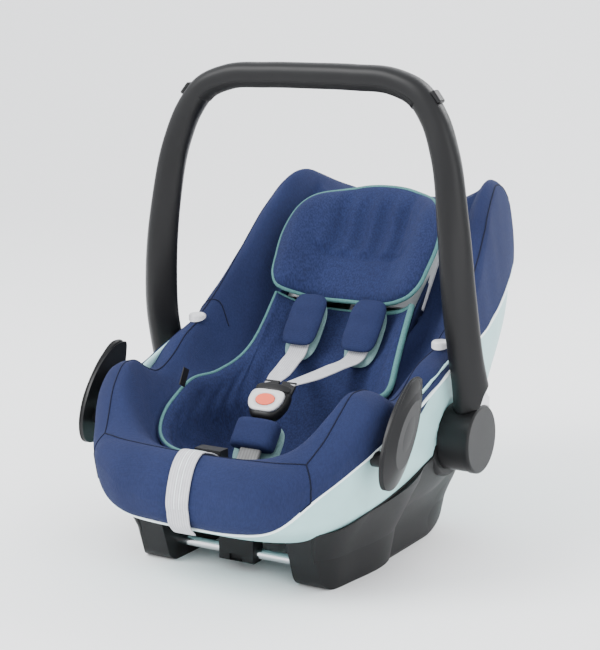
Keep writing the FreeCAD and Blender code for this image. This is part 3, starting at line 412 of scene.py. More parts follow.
def cloth(name, colour, melange, sheen=0.12):
    """Woven cloth: colour is the mean yarn, melange how far light and dark yarns stand apart."""
    material, tree, shader = start_material(
        name, 0.88, Sheen_Weight=sheen, Sheen_Roughness=0.45, Specular_IOR_Level=0.2
    )
    shader.inputs["Sheen Tint"].default_value = (*scaled(colour, 2.0), 1)
    plain = coordinates(tree)
    yarn = noise(tree, coordinates(tree, (1, 1, 0.3)), 620, 3)
    slow = noise(tree, plain, 11, 2)
    light, dark = scaled(colour, 1 + melange), scaled(colour, 1 - melange)
    base = ramp(tree, yarn, [(0.38, dark), (0.62, light)])
    shade = ramp(tree, slow, [(0.3, (0.80, 0.80, 0.82)), (0.7, (1, 1, 1))])
    tree.links.new(mix_colour(tree, 1.0, base, shade, "MULTIPLY"), shader.inputs["Base Color"])
    ribs = [bands(tree, plain, axis, RIB_PITCH) for axis in ("X", "Y", "Z")]
    bump(tree, shader, sum_of(tree, *ribs, yarn), 0.0004, 0.5)
    return material


def webbing(name, colour, across_ribs=9):
    """Harness tape on its own UV map: u across, v along, both in strap widths."""
    material, tree, shader = start_material(
        name, 0.62, Sheen_Weight=0.2, Sheen_Roughness=0.4, Specular_IOR_Level=0.35
    )
    plain = coordinates(tree, output="UV")
    ribs = bands(tree, plain, "X", 1 / across_ribs)
    picks = bands(tree, plain, "Y", 0.035)
    slow = noise(tree, plain, 2.5, 2)
    base = ramp(tree, ribs, [(0.0, scaled(colour, 0.80)), (0.75, scaled(colour, 1.08))])
    shade = ramp(tree, slow, [(0.3, (0.86, 0.86, 0.87)), (0.7, (1, 1, 1))])
    tree.links.new(mix_colour(tree, 1.0, base, shade, "MULTIPLY"), shader.inputs["Base Color"])
    bump(tree, shader, sum_of(tree, ribs, picks), 0.0003, 0.6)
    return material


def moulded(name, colour, roughness, grain=0.4, wear=1.5, coat=0.0):
    """Moulded plastic: fine grain in the bump, slow change of roughness, edges rubbed lighter."""
    gloss = 0.5 if colour[0] > 0.1 else 0.22
    material, tree, shader = start_material(
        name, roughness, Coat_Weight=coat, Coat_Roughness=0.15, Specular_IOR_Level=gloss
    )
    plain = coordinates(tree)
    fine = noise(tree, plain, 1500, 2)
    slow = noise(tree, plain, 16, 3)
    edges = tree.nodes.new("ShaderNodeNewGeometry").outputs["Pointiness"]
    rubbed = ramp(tree, edges, [(0.50, (0, 0, 0)), (0.60, (1, 1, 1))])
    tone = ramp(tree, slow, [(0.3, scaled(colour, 0.9)), (0.7, scaled(colour, 1.1))])
    base = mix_colour(tree, rubbed, tone, scaled(colour, wear))
    tree.links.new(base, shader.inputs["Base Color"])
    spread = tree.nodes.new("ShaderNodeMapRange")
    spread.inputs["To Min"].default_value = roughness - 0.06
    spread.inputs["To Max"].default_value = roughness + 0.08
    tree.links.new(slow, spread.inputs["Value"])
    tree.links.new(spread.outputs["Result"], shader.inputs["Roughness"])
    bump(tree, shader, fine, 0.00012, grain)
    return material


def metal(name, colour, roughness):
    """Bare metal: fine scratches stretched along X, the way a drawn bar is polished."""
    material, tree, shader = start_material(name, roughness, Metallic=1.0)
    lines = noise(tree, coordinates(tree, (0.03, 1, 1)), 900, 2)
    tree.links.new(
        ramp(tree, lines, [(0.3, scaled(colour, 0.92)), (0.7, scaled(colour, 1.05))]),
        shader.inputs["Base Color"],
    )
    bump(tree, shader, lines, 0.00005, 0.3)
    return material


BLUE = (0.0150, 0.0225, 0.072)
MINT = (0.36, 0.60, 0.60)
seat_cloth = cloth("seat_cloth", BLUE, 0.10)
melange_cloth = cloth("melange_cloth", scaled(BLUE, 1.12), 0.24)
seam_thread = cloth("seam_thread", scaled(BLUE, 0.30), 0.1, sheen=0.05)
mint_cloth = cloth("mint_cloth", scaled(MINT, 0.50), 0.08)
teal_edge = cloth("teal_edge", (0.085, 0.21, 0.205), 0.1)
strap_tape = webbing("strap_tape", (0.56, 0.56, 0.59))
stalk_tape = webbing("stalk_tape", (0.20, 0.20, 0.195), 7)
shell_mint = moulded("shell_mint", MINT, 0.42, 0.2, 1.15)
# Near-white: a painted highlight on the shell's lip, and the real colour of the adjuster stitches
painted_highlight_and_thread_white = moulded("painted_highlight_and_thread_white", (0.80, 0.90, 0.90), 0.35, 0.15, 1.05)
base_black = moulded("base_black", (0.005, 0.005, 0.0055), 0.52)
handle_black = moulded("handle_black", (0.006, 0.006, 0.0065), 0.40, 0.3, 1.5)
grip_black = moulded("grip_black", (0.006, 0.006, 0.0065), 0.72, 0.9, 1.3)
guide_grey = moulded("guide_grey", (0.007, 0.007, 0.0075), 0.33, 0.25, 1.5)
button_white = moulded("button_white", (0.62, 0.62, 0.64), 0.33, 0.15, 1.1, 0.3)
buckle_grey = moulded("buckle_grey", (0.52, 0.52, 0.52), 0.36, 0.15, 1.1, 0.2)
buckle_red = moulded("buckle_red", (0.66, 0.075, 0.025), 0.30, 0.1, 1.2, 0.4)
bar_chrome = metal("bar_chrome", (0.72, 0.72, 0.74), 0.14)
zinc = metal("zinc", (0.50, 0.50, 0.52), 0.38)
print("finishes:", len(bpy.data.materials))

# %% [markdown]
# ## The bucket's outlines
# Shell, cover and inlay all follow two families of level outlines: the shell's outside and
# the hollow that the child lies in. Each outline is a front and a rear half superellipse,
# x = half*cos^(2/p), y = middle + reach*sin^(2/p), and its sizes change smoothly with height.

# %% Level outlines
SHELL = [(46, 112, -196, 62), (62, 143, -247, 82), (74, 156, -271, 94), (86, 164, -291, 107),
         (104, 172, -299, 125), (130, 179, -301, 150), (186, 187, -301, 204), (250, 184, -301, 276),
         (302, 175, -301, 317), (340, 169, -301, 331), (388, 160, -301, 334), (440, 148, -301, 326)]
HOLLOW = [(92, 66, -160, -46), (99, 92, -186, -34), (114, 110, -208, -18), (150, 121, -232, 3),
          (200, 126, -256, 43), (260, 126, -270, 91), (350, 121, -282, 162), (445, 115, -290, 238)]
RIM = [(-340, 96), (-309, 132), (-297, 151), (-281, 161), (-262, 164), (-238, 182), (-213, 213),
       (-188, 230), (-165, 228), (-138, 214), (-112, 206), (-88, 214), (-55, 236), (0, 255),
       (45, 287), (95, 337), (143, 391), (172, 416), (200, 424), (228, 417), (262, 398),
       (300, 378), (352, 360)]
HEM = [(-340, 78), (-291, 84), (-265, 121), (-232, 147), (-150, 184), (-70, 212), (0, 234), (90, 257),
       (155, 279), (219, 303), (290, 326), (360, 340)]
INLAY_EDGE = [(-232, 134), (-215, 136), (-180, 150), (-140, 170), (-95, 186), (-40, 188), (5, 206),
              (46, 250), (66, 281), (95, 325), (130, 362), (175, 388)]
WIDEST_Y = -35.0
SHELL_POWER, HOLLOW_POWER = 3.3, 2.8
PROUD, PROUD_END = 3.6, 6.6
INLAY_THICK = 11.0


def sizes_at(z, levels):
    """Half width, front and rear of a family of outlines at height z."""
    table = np.array(levels, float)
    return (follow(z, table[:, (0, k)]) for k in (1, 2, 3))


def outline(turn, z, levels, power, widest=None, side=0.0, end=0.0):
    """Point of the level outline at height z and angle turn, grown by side and end."""
    half, front, rear = sizes_at(z, levels)
    middle = (front + rear) / 2 if widest is None else widest
    c, s = np.cos(turn), np.sin(turn)
    reach = np.where(s > 0, rear - middle, middle - front) + end
    x = (half + side) * bow(c, 2 / power)
    y = middle + reach * bow(s, 2 / power)
    return np.stack(np.broadcast_arrays(x, y, z), axis=-1)


AROUND, SPACING_Z = 288, 200.0


def even_turns(levels, power, widest=None):
    """Angles at which an outline is met at even steps of length, from the front."""
    turn = np.linspace(-np.pi / 2, 1.5 * np.pi, 4001)
    line = outline(turn, np.full(turn.shape, SPACING_Z), levels, power, widest)
    length = length_along(line)
    return np.interp(np.linspace(0, length[-1], AROUND, endpoint=False), length, turn)


DIP_Z, DIP_HALF, DIP_FRONT_Y = 388, 74, 205
HUB_CLEAR_X, HUB_CLEAR_RADIUS = 180.0, 44.0
HEADREST_CLEAR_X, HEADREST_CLEAR_D, HEADREST_GAP = 122, 136, 1.5


def rim_height(x, y):
    """Height of the padded rim: the side line, lowered between the head lobes."""
    line = follow(y, RIM)
    dip = DIP_Z + np.maximum(0, np.abs(x) - DIP_HALF) * 0.85 + np.maximum(0, DIP_FRONT_Y - y) * 2.0
    soft = 14.0
    lower = np.minimum(line, dip)
    return lower - soft / 4 * np.maximum(0, 1 - np.abs(line - dip) / soft) ** 2


def clear_hub(points):
    """Presses the skin flat where the handle's drum turns beside it."""
    away = np.hypot(points[..., 1], points[..., 2] - HUB_Z)
    limit = HUB_CLEAR_X + np.maximum(0, away - HUB_CLEAR_RADIUS) * 1.1
    points[..., 0] = np.clip(points[..., 0], -limit, limit)
    return points


def clear_headrest(points):
    """Presses the hollow back where the headrest slides in it."""
    d = (points - BACK_START) @ UP_BACK
    n = (points - BACK_START) @ OUT_OF_BACK
    inside = ease((HEADREST_CLEAR_X - np.abs(points[..., 0])) / 8) * ease((d - HEADREST_CLEAR_D) / 6)
    push = np.maximum(0, n + HEADREST_GAP) * inside
    return points - push[..., None] * OUT_OF_BACK


shell_turns = even_turns(SHELL, SHELL_POWER, WIDEST_Y)
hollow_turns = even_turns(HOLLOW, HOLLOW_POWER)
print("outlines of", AROUND, "points")

# %% [markdown]
# ## Seat cover
# The cover is sewn cloth over foam. Each section runs up the outside from the hem, over
# the padded rim, and down a soft slope into the hollow, where the inlay hides its end. The
# crest of the rim lies nearer the outside at the head lobes than at the arm rests. The
# sheet is then given the thickness of the laminated cloth with Solidify.


# %% Cover surface
def meet(line, at_height, start):
    """Height z where the outline's own y puts it on a side line: z = line(y(z)), by repetition."""
    z = np.full(AROUND, float(start))
    for _ in range(30):
        z = 0.5 * z + 0.5 * line(at_height(z))
    return z


def shell_at(z, side=PROUD, end=PROUD_END):
    """Level outline of the shell, grown by side and end; as it is, the cover's outside."""
    return outline(shell_turns, z, SHELL, SHELL_POWER, WIDEST_Y, side, end)


def inner_at(z):
    return outline(hollow_turns, z, HOLLOW, HOLLOW_POWER)


SHOULDER = 24.0
hem_z = meet(lambda p: follow(p[:, 1], HEM), shell_at, 200)
edge_z = meet(lambda p: rim_height(p[:, 0], p[:, 1]) - SHOULDER, shell_at, 220)
edge_z = np.maximum(edge_z, hem_z + 8)
inner_z = meet(lambda p: follow(p[:, 1], INLAY_EDGE) + 3, inner_at, 200)


def cover_grid():
    """Sections as columns: outside, rounded shoulder, slope to the hollow, hollow wall."""
    outside, band, wall = 24, 44, 18
    s = np.linspace(0, 1, outside)[:, None]
    side = shell_at(hem_z + (edge_z - hem_z) * s)
    first, last = shell_at(edge_z), inner_at(inner_z)
    t = np.linspace(0, 1, band + 2)[1:-1, None]
    across = first + (last - first) * t[..., None]
    top = rim_height(across[..., 0], across[..., 1])
    crest = follow(first[:, 1], [(-320, 0.33), (-250, 0.36), (-180, 0.45), (0, 0.34), (95, 0.2), (350, 0.2)])
    rise = np.clip(t / crest, 0, 1)
    shoulder = top - SHOULDER * (1 - np.sqrt(np.clip(1 - (1 - rise) ** 2, 0, 1)))
    fall = ease((t - crest) / (1 - crest))
    across[..., 2] = shoulder * (1 - fall) + inner_z * fall
    s = np.linspace(0, 1, wall)[:, None]
    low = np.maximum(inner_z - 70, 100)
    inside = inner_at(inner_z + (low - inner_z) * s)
    grid = np.concatenate([side, across, inside])
    return clear_headrest(clear_hub(grid))


cover_points = cover_grid()
swell = ripple(cover_points, 0.9, 3)
bucket_middle = np.array([0.0, -60.0, 170.0])
cover_points = clear_hub(cover_points + unit(cover_points - bucket_middle) * swell[..., None])
seat_cover = surface("padded_seat_cover", cover_points, seat_cloth, wrap_columns=True,
                     slot="seat_fabric")
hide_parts("seat_cover", "foam_liner")


def thicken(piece, thickness):
    """Gives a sheet its thickness in mm, on its inner side."""
    solid = piece.modifiers.new("cloth_thickness", "SOLIDIFY")
    solid.thickness = thickness * MM
    solid.offset = -1.0


thicken(seat_cover, 2.5)

# %% [markdown]
# ## Seams of the cover
# A seam is a fine dark welt that lies in the surface. Its route is a few points near the
# cover; each sampled point is then dropped to the nearest place on the mesh.

# %% Seams
cover_tree = BVHTree.FromPolygons(
    [tuple(p) for p in place(cover_points.reshape(-1, 3))],
    grid_faces(*cover_points.shape[:2], wrap_columns=True),
)


def lay_on_cover(line):
    """The cover's nearest points to those of a line."""
    spots = np.array([tuple(cover_tree.find_nearest(Vector(point))[0]) for point in place(line)])
    return spots / MM - np.array([0.0, HUB_Y, 0.0])


SEAM_RADIUS = 0.9
SIDES = (("left", -1), ("right", 1))


def seam(name, points, count):
    """Welt along a route, each inner point smoothed to (before + 2*own + after) / 4."""
    line = lay_on_cover(flow(points, count))
    smooth = line.copy()
    smooth[1:-1] = (line[:-2] + 2 * line[1:-1] + line[2:]) / 4
    tube(name, smooth, SEAM_RADIUS, seam_thread, sides=6, slot="seat_fabric")


SEAMS = {
    "wing": ([(133, -258, 163), (142, -236, 184), (150, -212, 213), (153, -188, 231), (155, -160, 228),
              (158, -120, 208), (160, -80, 218), (162, -45, 240), (164, -18, 250)], 90),
    "roll_end": ([(133, -258, 163), (150, -272, 140), (160, -278, 110), (163, -280, 92)], 40),
    "lobe": ([(172, 6, 258), (170, 45, 288), (167, 95, 336), (163, 143, 391), (160, 176, 417),
              (156, 200, 424), (150, 232, 416), (146, 262, 398)], 90),
    "stud": ([(186, 18, 240), (176, 24, 266), (160, 26, 270), (140, 22, 240)], 40),
}
FRONT_ROLL = [(133, -258, 163), (100, -268, 163), (50, -274, 162)]
seam("seam_front_roll", [(-x, y, z) for x, y, z in FRONT_ROLL] + [(0, -276, 162)] + FRONT_ROLL[::-1], 90)
for side_name, side in SIDES:
    for name, (route, count) in SEAMS.items():
        seam("seam_" + name + "_" + side_name, [(side * x, y, z) for x, y, z in route], count)

# %% [markdown]
# ## Moulded shell
# Below the hem the pale shell shows. It is one smooth bowl with a lip that the cloth
# is hooked behind; the lip is a near-white tube, a painted highlight along the hem.

# %% Shell and its lip with a painted highlight
BOWL_FOOT_Z = 46
levels_up = np.linspace(0, 1, 40)[:, None]
top_z = hem_z + 9
wall = shell_at(BOWL_FOOT_Z + (top_z - BOWL_FOOT_Z) * levels_up, 0.6, 0.6)
floor_rings = np.linspace(0.02, 0.985, 14)[:, None, None]
middle = wall[0].mean(0)
floor = middle + (wall[0] - middle) * floor_rings
shell_points = clear_hub(np.concatenate([floor, wall]))
shell = surface("moulded_shell", shell_points, shell_mint, wrap_columns=True, slot="mint_shell")
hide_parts("seat_shell")
thicken(shell, 3.0)

# The lip tube is near-white: a painted highlight where the lip catches the light
lip_line = clear_hub(shell_at(hem_z - 1.5, PROUD - 0.8, PROUD_END - 1.2))
tube("shell_lip_painted_highlight", lip_line, 2.1, painted_highlight_and_thread_white, closed=True, slot="mint_shell")

# %% [markdown]
# ## Sides of the base
# The black base reaches up round the shell to the hub. Its side view runs between a lower
# line (front foot, sole, rising rear) and an upper line; x is the wider of the base's own
# outline and the shell's, plus the wall that lies over it.

# %% Base sides
BASE = [(-4, 131, -214, 112), (40, 139, -222, 116), (75, 156, -232, 112), (105, 171, -240, 100),
        (140, 181, -244, 80)]
BASE_LOW = [(-226, 74), (-221, 60), (-212, 36), (-203, 14), (-196, 4), (-184, 0.4), (-120, 0.4), (-40, 0.4),
            (42, 0.4), (66, 7), (88, 20), (97, 37), (92, 56), (72, 82), (56, 104)]
BASE_HIGH = [(-226, 75), (-212, 79), (-185, 89), (-145, 99), (-98, 112), (-69, 122), (-40, 131), (-10, 135),
             (20, 137), (34, 137), (42, 136), (48, 134), (52, 130), (54, 124), (56, 116)]
BASE_POWER, BASE_WIDEST_Y = 7.0, -60.0
OVER_SHELL, SHELL_FOOT_Z, INNERMOST_X, SIDE_WALL = 2.4, 47, 86, 3.0


def half_width(y, z, levels, power, widest):
    """Half width of a level outline at (y, z): half * (1 - |reach share|^p)^(1/p)."""
    half, front, rear = sizes_at(z, levels)
    reach = np.where(y > widest, rear - widest, widest - front)
    return half * np.clip(1 - np.abs((y - widest) / reach) ** power, 0, 1) ** (1 / power)


def fill_in(points, count=90):
    """Points in even steps of the list's own numbering, joined by straight lines."""
    steps, own = np.linspace(0, 1, count), np.linspace(0, 1, len(points))
    return np.stack([np.interp(steps, own, values) for values in np.array(points).T], axis=1)


low_line, high_line = fill_in(BASE_LOW), fill_in(BASE_HIGH)
rise = np.linspace(0, 1, 36)[:, None, None]
side_view = low_line + (high_line - low_line) * rise
y, z = side_view[..., 0], side_view[..., 1]
wide = half_width(y, z, BASE, BASE_POWER, BASE_WIDEST_Y)
over_shell = np.where(z > SHELL_FOOT_Z, half_width(y, z, SHELL, SHELL_POWER, WIDEST_Y) + OVER_SHELL, 0)
base_x = np.maximum(np.maximum(wide, over_shell), INNERMOST_X)
for name, side in SIDES:
    sheet_points = clear_hub(np.stack([side * base_x, y, z], axis=-1))
    inner = sheet_points.copy()
    inner[..., 0] = side * (np.abs(inner[..., 0]) - SIDE_WALL)
    closed = np.concatenate([sheet_points, inner[::-1]])
    surface("base_side_" + name, closed, base_black, wrap_rows=True, slot="black_plastic")

# %% [markdown]
# ## Inlay
# The loose inlay for small babies is quilted melange cloth, softer and lighter than the
# cover. It lines the hollow up to the headrest. Its edge is bound in teal, which shows from
# the side.

# %% Inlay
HEADREST_START_D = 142.0
INLAY_FLOOR_Z, INLAY_BACK_GAP = 95.0, 0.9


def inlay_top(points):
    """Top edge: the side line, or lower, where the headrest begins."""
    stop = BACK_START[2] + (HEADREST_START_D - UP_BACK[1] * points[:, 1]) / UP_BACK[2]
    return np.minimum(follow(points[:, 1], INLAY_EDGE) + 8, stop)


inlay_z = meet(inlay_top, inner_at, 180)
depth = np.linspace(0, 1, 44)[:, None] ** 0.8


def inlay_layer(inset):
    """The hollow's wall from the inlay's edge to its bottom, moved inwards by inset."""
    z = inlay_z + (INLAY_FLOOR_Z - inlay_z) * depth
    points = outline(hollow_turns, z, HOLLOW, HOLLOW_POWER, None, -inset, -inset)
    points[..., 2] += inset * ease(depth * 1.6) * 0.9
    return points


outer_layer = inlay_layer(INLAY_BACK_GAP)
puff = 0.45 + 0.55 * (1 - (1 - np.clip(depth / 0.16, 0, 1)) ** 2)
inner_layer = outer_layer + (inlay_layer(INLAY_THICK) - outer_layer) * puff[..., None]
turn_grid = np.broadcast_to(hollow_turns, inner_layer.shape[:2])
folds = 0.9 * np.sin(turn_grid * 26 + 1.5 * np.sin(depth * 9)) * ease(depth * 3) * ease((1 - depth) * 3)
hollow_middle = np.array([0.0, -110.0, 190.0])
uneven = folds + ripple(inner_layer, 1.2, 8)
inner_layer = inner_layer + unit(hollow_middle - inner_layer) * uneven[..., None]
shrink = np.linspace(0.9, 0.02, 10)[:, None, None]
bottom_in, bottom_out = (
    line.mean(0) + (line - line.mean(0)) * shares
    for line, shares in ((inner_layer[-1], shrink), (outer_layer[-1], shrink[::-1]))
)
inlay_points = np.concatenate([bottom_out, outer_layer[::-1], inner_layer, bottom_in])
inlay = surface("quilted_inlay", inlay_points, melange_cloth, wrap_columns=True, caps=True,
                slot="seat_fabric")
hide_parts("seat_inlay")
binding_line = (outer_layer[0] + inner_layer[0]) / 2 + np.array([0, 0, 0.5])
binding_radius = 1.9 + 1.9 * ease(binding_line[:, 0] / 60)
tube("inlay_binding", binding_line, binding_radius, teal_edge, closed=True, slot="mint_fabric")

# %% [markdown]
# ## Headrest
# A crowned pad with side wings that stand forward. Its middle is gathered in soft upright
# folds, a seam crosses it below the head, and a teal binding runs round its edge. The back
# is teal cloth too, which shows from behind and from the side.

# %% Headrest
HEAD_SEAM_D, HEAD_HOLLOW_D = 206, 245


def headrest_outline():
    """Straight sides that draw in a little, closed by a wide arc above and a flat curve below."""
    return flow([(0, 316), (40, 311), (76, 293), (100, 262), (109, 226), (107, 188), (101, 158), (94, 148),
                 (60, 146), (0, 146), (-60, 146), (-94, 148), (-101, 158), (-107, 188), (-109, 226),
                 (-100, 262), (-76, 293), (-40, 311)], 132, closed=True)


def headrest_front(x, d):
    """A wide U with crowned wings, upright folds, a cross seam and a hollow for the head."""
    wing = ease((np.abs(x) - 40) / 52)
    base = 25 + 34 * wing * (1 - 0.30 * ease((d - 250) / 70))
    middle = ease((80 - np.abs(x)) / 30)
    up = ease((d - HEAD_SEAM_D) / 14)
    folds = 3.4 * np.cos(x * 0.21 + 0.5 * np.sin(d * 0.05)) * middle * up * ease((304 - d) / 30)
    seam_dip = -4.5 * np.exp(-((d - HEAD_SEAM_D - 0.0009 * x * x) / 5.0) ** 2) * middle
    hollow = -5 * np.exp(-((x / 50) ** 2 + ((d - HEAD_HOLLOW_D) / 38) ** 2))
    return base + folds + seam_dip + hollow


def headrest_back(x, d):
    return 8.5 + 22 * ease((np.abs(x) - 62) / 40)


headrest = pillow("headrest_pad", headrest_outline(), headrest_front, headrest_back, on_back,
                  [melange_cloth, teal_edge], rings=40, round_power=7.0, body="headrest",
                  slot="seat_fabric")
colour_back(headrest, on_back, -0.15)
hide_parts("headrest_cushion")
edge_x, edge_d = headrest_outline().T
edge_n = (headrest_front(edge_x, edge_d) + headrest_back(edge_x, edge_d)) / 2
tube("headrest_binding", on_back(edge_x, edge_d, edge_n), 3.0, teal_edge, closed=True,
     reference=(0.05, -0.78, 0.62), body="headrest", slot="mint_fabric")

# %% [markdown]
# ## Shoulder pads and harness
# Each pad is a blue sleeve round the webbing with a softer mint tongue under it that
# sticks out below. The webbing is one tape from the headrest down to the buckle's tongue.

# %% Shoulder pads
PAD_X, STRAP_N = 42.0, 26.0
for name, side in SIDES:
    sleeve_outline = round_box(24, 36, 4.2, centre=(side * PAD_X, 106))

    def sleeve_front(x, d, side=side):
        return 40.5 - 0.006 * (x - side * PAD_X) ** 2 + 0.5 * np.sin(d * 0.22)

    sleeve = pillow("shoulder_pad_" + name + "_sleeve", sleeve_outline, sleeve_front, level(28.4), on_back,
                    seat_cloth, rings=18, round_power=5.0, body="headrest", slot="seat_fabric")
    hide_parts("shoulder_pad_" + name)
    lobe_outline = round_box(23, 42, 3.0, centre=(side * PAD_X, 97))
    lobe = pillow("shoulder_pad_" + name + "_lining", lobe_outline,
                  lambda x, d, side=side: 23.8 - 0.002 * (x - side * PAD_X) ** 2, level(18.2), on_back,
                  mint_cloth, rings=14, round_power=4.0, body="headrest", slot="mint_fabric")
    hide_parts("pad_backing_" + name)

# %% [markdown]
# ## Buckle, tongues, stalk and crotch pad
# The buckle's black body carries a grey face with the release button. Two flat tongues go
# into its upper end. A stiff tape holds it, with a padded loop round the tape.

# %% Buckle and stalk frames
buckle_at = slope_frame((0, -117, 183), 42.0)
stalk_at = slope_frame((0, -171, 113), 52.0)
BUCKLE_HALF = 22.0


def shield(width, length, narrow):
    """Buckle outline: wide at the tongues, drawn in to narrow of its width at the foot."""
    points = round_box(width, length, 4.5)
    share = np.clip(-points[:, 1] / length, 0, 1)
    points[:, 0] *= 1 - (1 - narrow) * share**1.3
    return points


body_outline = shield(25, BUCKLE_HALF, 0.66)
buckle = pillow("buckle_body", body_outline, lambda x, d: 8.6 - 0.004 * x * x, level(-10), buckle_at,
                handle_black, rings=14, round_power=9.0, slot="black_plastic")
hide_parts("buckle_housing")

# The face is a ring from its outer outline to the button's hole, with a turned edge.
FACE_LOW, FACE_HIGH = 7.0, 10.6
face_outline = shield(22.5, 15.0, 0.74)
face_outline[:, 1] -= 0.6
button_hole = round_box(12.9, 8.4, 2.0)
rows = [(face_outline, FACE_LOW), (face_outline, FACE_HIGH - 0.8), (face_outline * 0.985, FACE_HIGH),
        (button_hole * 1.02, FACE_HIGH), (button_hole, FACE_HIGH - 0.6), (button_hole, FACE_LOW)]
face_grid = np.stack([buckle_at(line[:, 0], line[:, 1], height) for line, height in rows])
surface("buckle_face", face_grid, buckle_grey, wrap_rows=True, wrap_columns=True,
        slot="grey_plastic")
pillow("buckle_crown", round_box(23.5, 5.5, 3.5, centre=(0, 19.5)), lambda x, d: 10.2 - 0.006 * x * x,
       level(2), buckle_at, handle_black, rings=8, round_power=6.0, slot="black_plastic")


# %% Webbing
def tape(name, line, across, width, thickness, material, body="root", slot="webbing"):
    """Flat tape along a line: a thin rounded section, with UVs in strap widths."""
    line = np.asarray(line, float)
    across = np.asarray(across, float)
    along = np.gradient(line, axis=0)
    along = unit(along)
    across = across - np.sum(across * along, axis=1)[:, None] * along
    across = unit(across)
    up = np.cross(across, along)
    half = np.broadcast_to(np.asarray(width, float), len(line)) / 2
    u = np.concatenate([np.linspace(-1, 1, 13), np.linspace(1, -1, 13)])
    v = np.concatenate([np.full(13, 0.5), np.full(13, -0.5)]) * np.where(np.abs(u) > 0.99, 0.5, 1)
    spread = (half[:, None] * u)[..., None] * across[:, None]
    grid = line[:, None] + spread + (thickness * v)[None, :, None] * up[:, None]
    widths_along = (length_along(line) / np.mean(half) / 2)[:, None]
    uv = np.stack(np.broadcast_arrays((u[None, :] + 1) / 2, widths_along), axis=-1)
    return surface(name, grid, material, wrap_columns=True, caps=True, body=body, uv=uv.reshape(-1, 2),
                   slot=slot)


for name, side in SIDES:
    lower = buckle_at(side * 11.5, BUCKLE_HALF + 12.0, -4.5).reshape(3)
    mouth = on_back(side * 40.5, 66, 26.5).reshape(3)
    sag = np.array([0, -1.0, -2.5])
    route = flow([
        lower, lower + (mouth - lower) * 0.33 + sag, lower + (mouth - lower) * 0.67 + sag, mouth,
        on_back(side * PAD_X, 100, STRAP_N).reshape(3), on_back(side * PAD_X, 142, STRAP_N).reshape(3)], 90)
    share = np.linspace(0, 1, 90)
    width = 19 + 7.0 * ease(share * 5)
    across = np.tile([1.0, 0.0, 0.0], (90, 1))
    strap = tape("harness_strap_" + name, route, across, width, 1.9, strap_tape, body=None)
    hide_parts("shoulder_strap_" + name, "lower_strap_" + name)
    start = place(on_back(side * 40, 70, 26).reshape(1, 3))[0]
    end = place(buckle_at(side * 14, BUCKLE_HALF + 20, -3).reshape(1, 3))[0]
    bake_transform(strap)

stalk_line = stalk_at(0, np.linspace(0, 50, 30), 3.0)
stalk = tape("crotch_tape", stalk_line, np.tile([1.0, 0, 0], (30, 1)), 28, 5.6, stalk_tape,
             slot="stalk_web")
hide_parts("crotch_stalk")


# %% Crotch pad: a rounded loop of padded cloth with a lining behind
def crotch_loop():
    """Section round the tape: a flattened ring, carried up the stalk with bulging edges."""
    turn = full_turn(64)
    rise = np.linspace(0, 1, 26)[:, None]
    bulge = np.sqrt(np.clip(1 - (2 * rise - 1) ** 6, 0, 1))
    x = 28.5 * bow(np.cos(turn), 0.55)
    n = 3.5 + (6.0 + 7.0 * bulge) * bow(np.sin(turn), 0.8)
    d = 29 + 34 * rise + 3.0 * np.sin(turn) * rise
    return stalk_at(x * (0.93 + 0.07 * bulge), d, n)


loop = surface("crotch_pad_loop", crotch_loop(), seat_cloth, wrap_columns=True, caps=True,
               slot="seat_fabric")
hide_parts("crotch_pad")
lining = pillow("crotch_pad_lining", round_box(31, 30, 3.2, centre=(0, 38)), level(-8.0), level(-13.0),
                stalk_at, mint_cloth, rings=12, slot="mint_fabric")
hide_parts("crotch_pad_backing")

# %% [markdown]
# ## Carry handle
# One hollow moulding: an oval leg turned outwards at the hub, drawn thinner as it rises,
# and a nearly round bar on top. The section is a superellipse whose half sizes and turn
# change along the middle line. A soft grip is let into the underside of the top bar.

# %% Handle
LEG_X = 209.0
HALF_ARCH = [(LEG_X, 3, 170), (LEG_X + 1.5, -12, 205), (LEG_X + 0.5, -27, 250), (204.5, -37, 320),
             (196, -37, 400), (181.5, -31, 478), (166, -27, 516), (144, -24.5, 543), (112, -22, 556),
             (60, -20, 559.5), (0, -19, 560)]
right_half = np.array(HALF_ARCH, float)
left_half = right_half[-2::-1] * np.array([-1, 1, 1])
arch_line = flow(np.concatenate([right_half, left_half]), 221)


ARCH_POWER = 2.6


def arch_sections(line, grow=0.0, turns=None):
    """Rings along the arch: centre + u*out + v*deep, turned by the leg's own angle."""
    count = len(line)
    share = 1 - np.abs(np.linspace(-1, 1, count))
    along = np.gradient(line, axis=0)
    along = unit(along)
    out = np.cross([0.0, 1.0, 0.0], along)
    out = unit(out)
    deep = np.cross(along, out)
    blend = ease((share - 0.2) / 0.6)
    foot = np.maximum(0, 1 - share / 0.16) ** 2
    long_half = 20 - 5 * blend + 5 * foot + grow
    thin_half = 14.5 + 1.0 * blend + grow
    side = np.sign(np.linspace(1, -1, count))
    tilt = np.radians(50) * (1 - blend) * side
    if turns is None:
        turns = full_turn(48)
    a = long_half[:, None] * bow(np.cos(turns), 2 / ARCH_POWER)
    b = thin_half[:, None] * bow(np.sin(turns), 2 / ARCH_POWER)
    u = a * np.cos(tilt)[:, None] - b * np.sin(tilt)[:, None]
    v = a * np.sin(tilt)[:, None] + b * np.cos(tilt)[:, None]
    return line[:, None] + u[..., None] * out[:, None] + v[..., None] * deep[:, None]


arch = surface("carry_handle", arch_sections(arch_line), handle_black, wrap_columns=True, caps=True,
               body="handle", slot="black_plastic")
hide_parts("handle_arch")


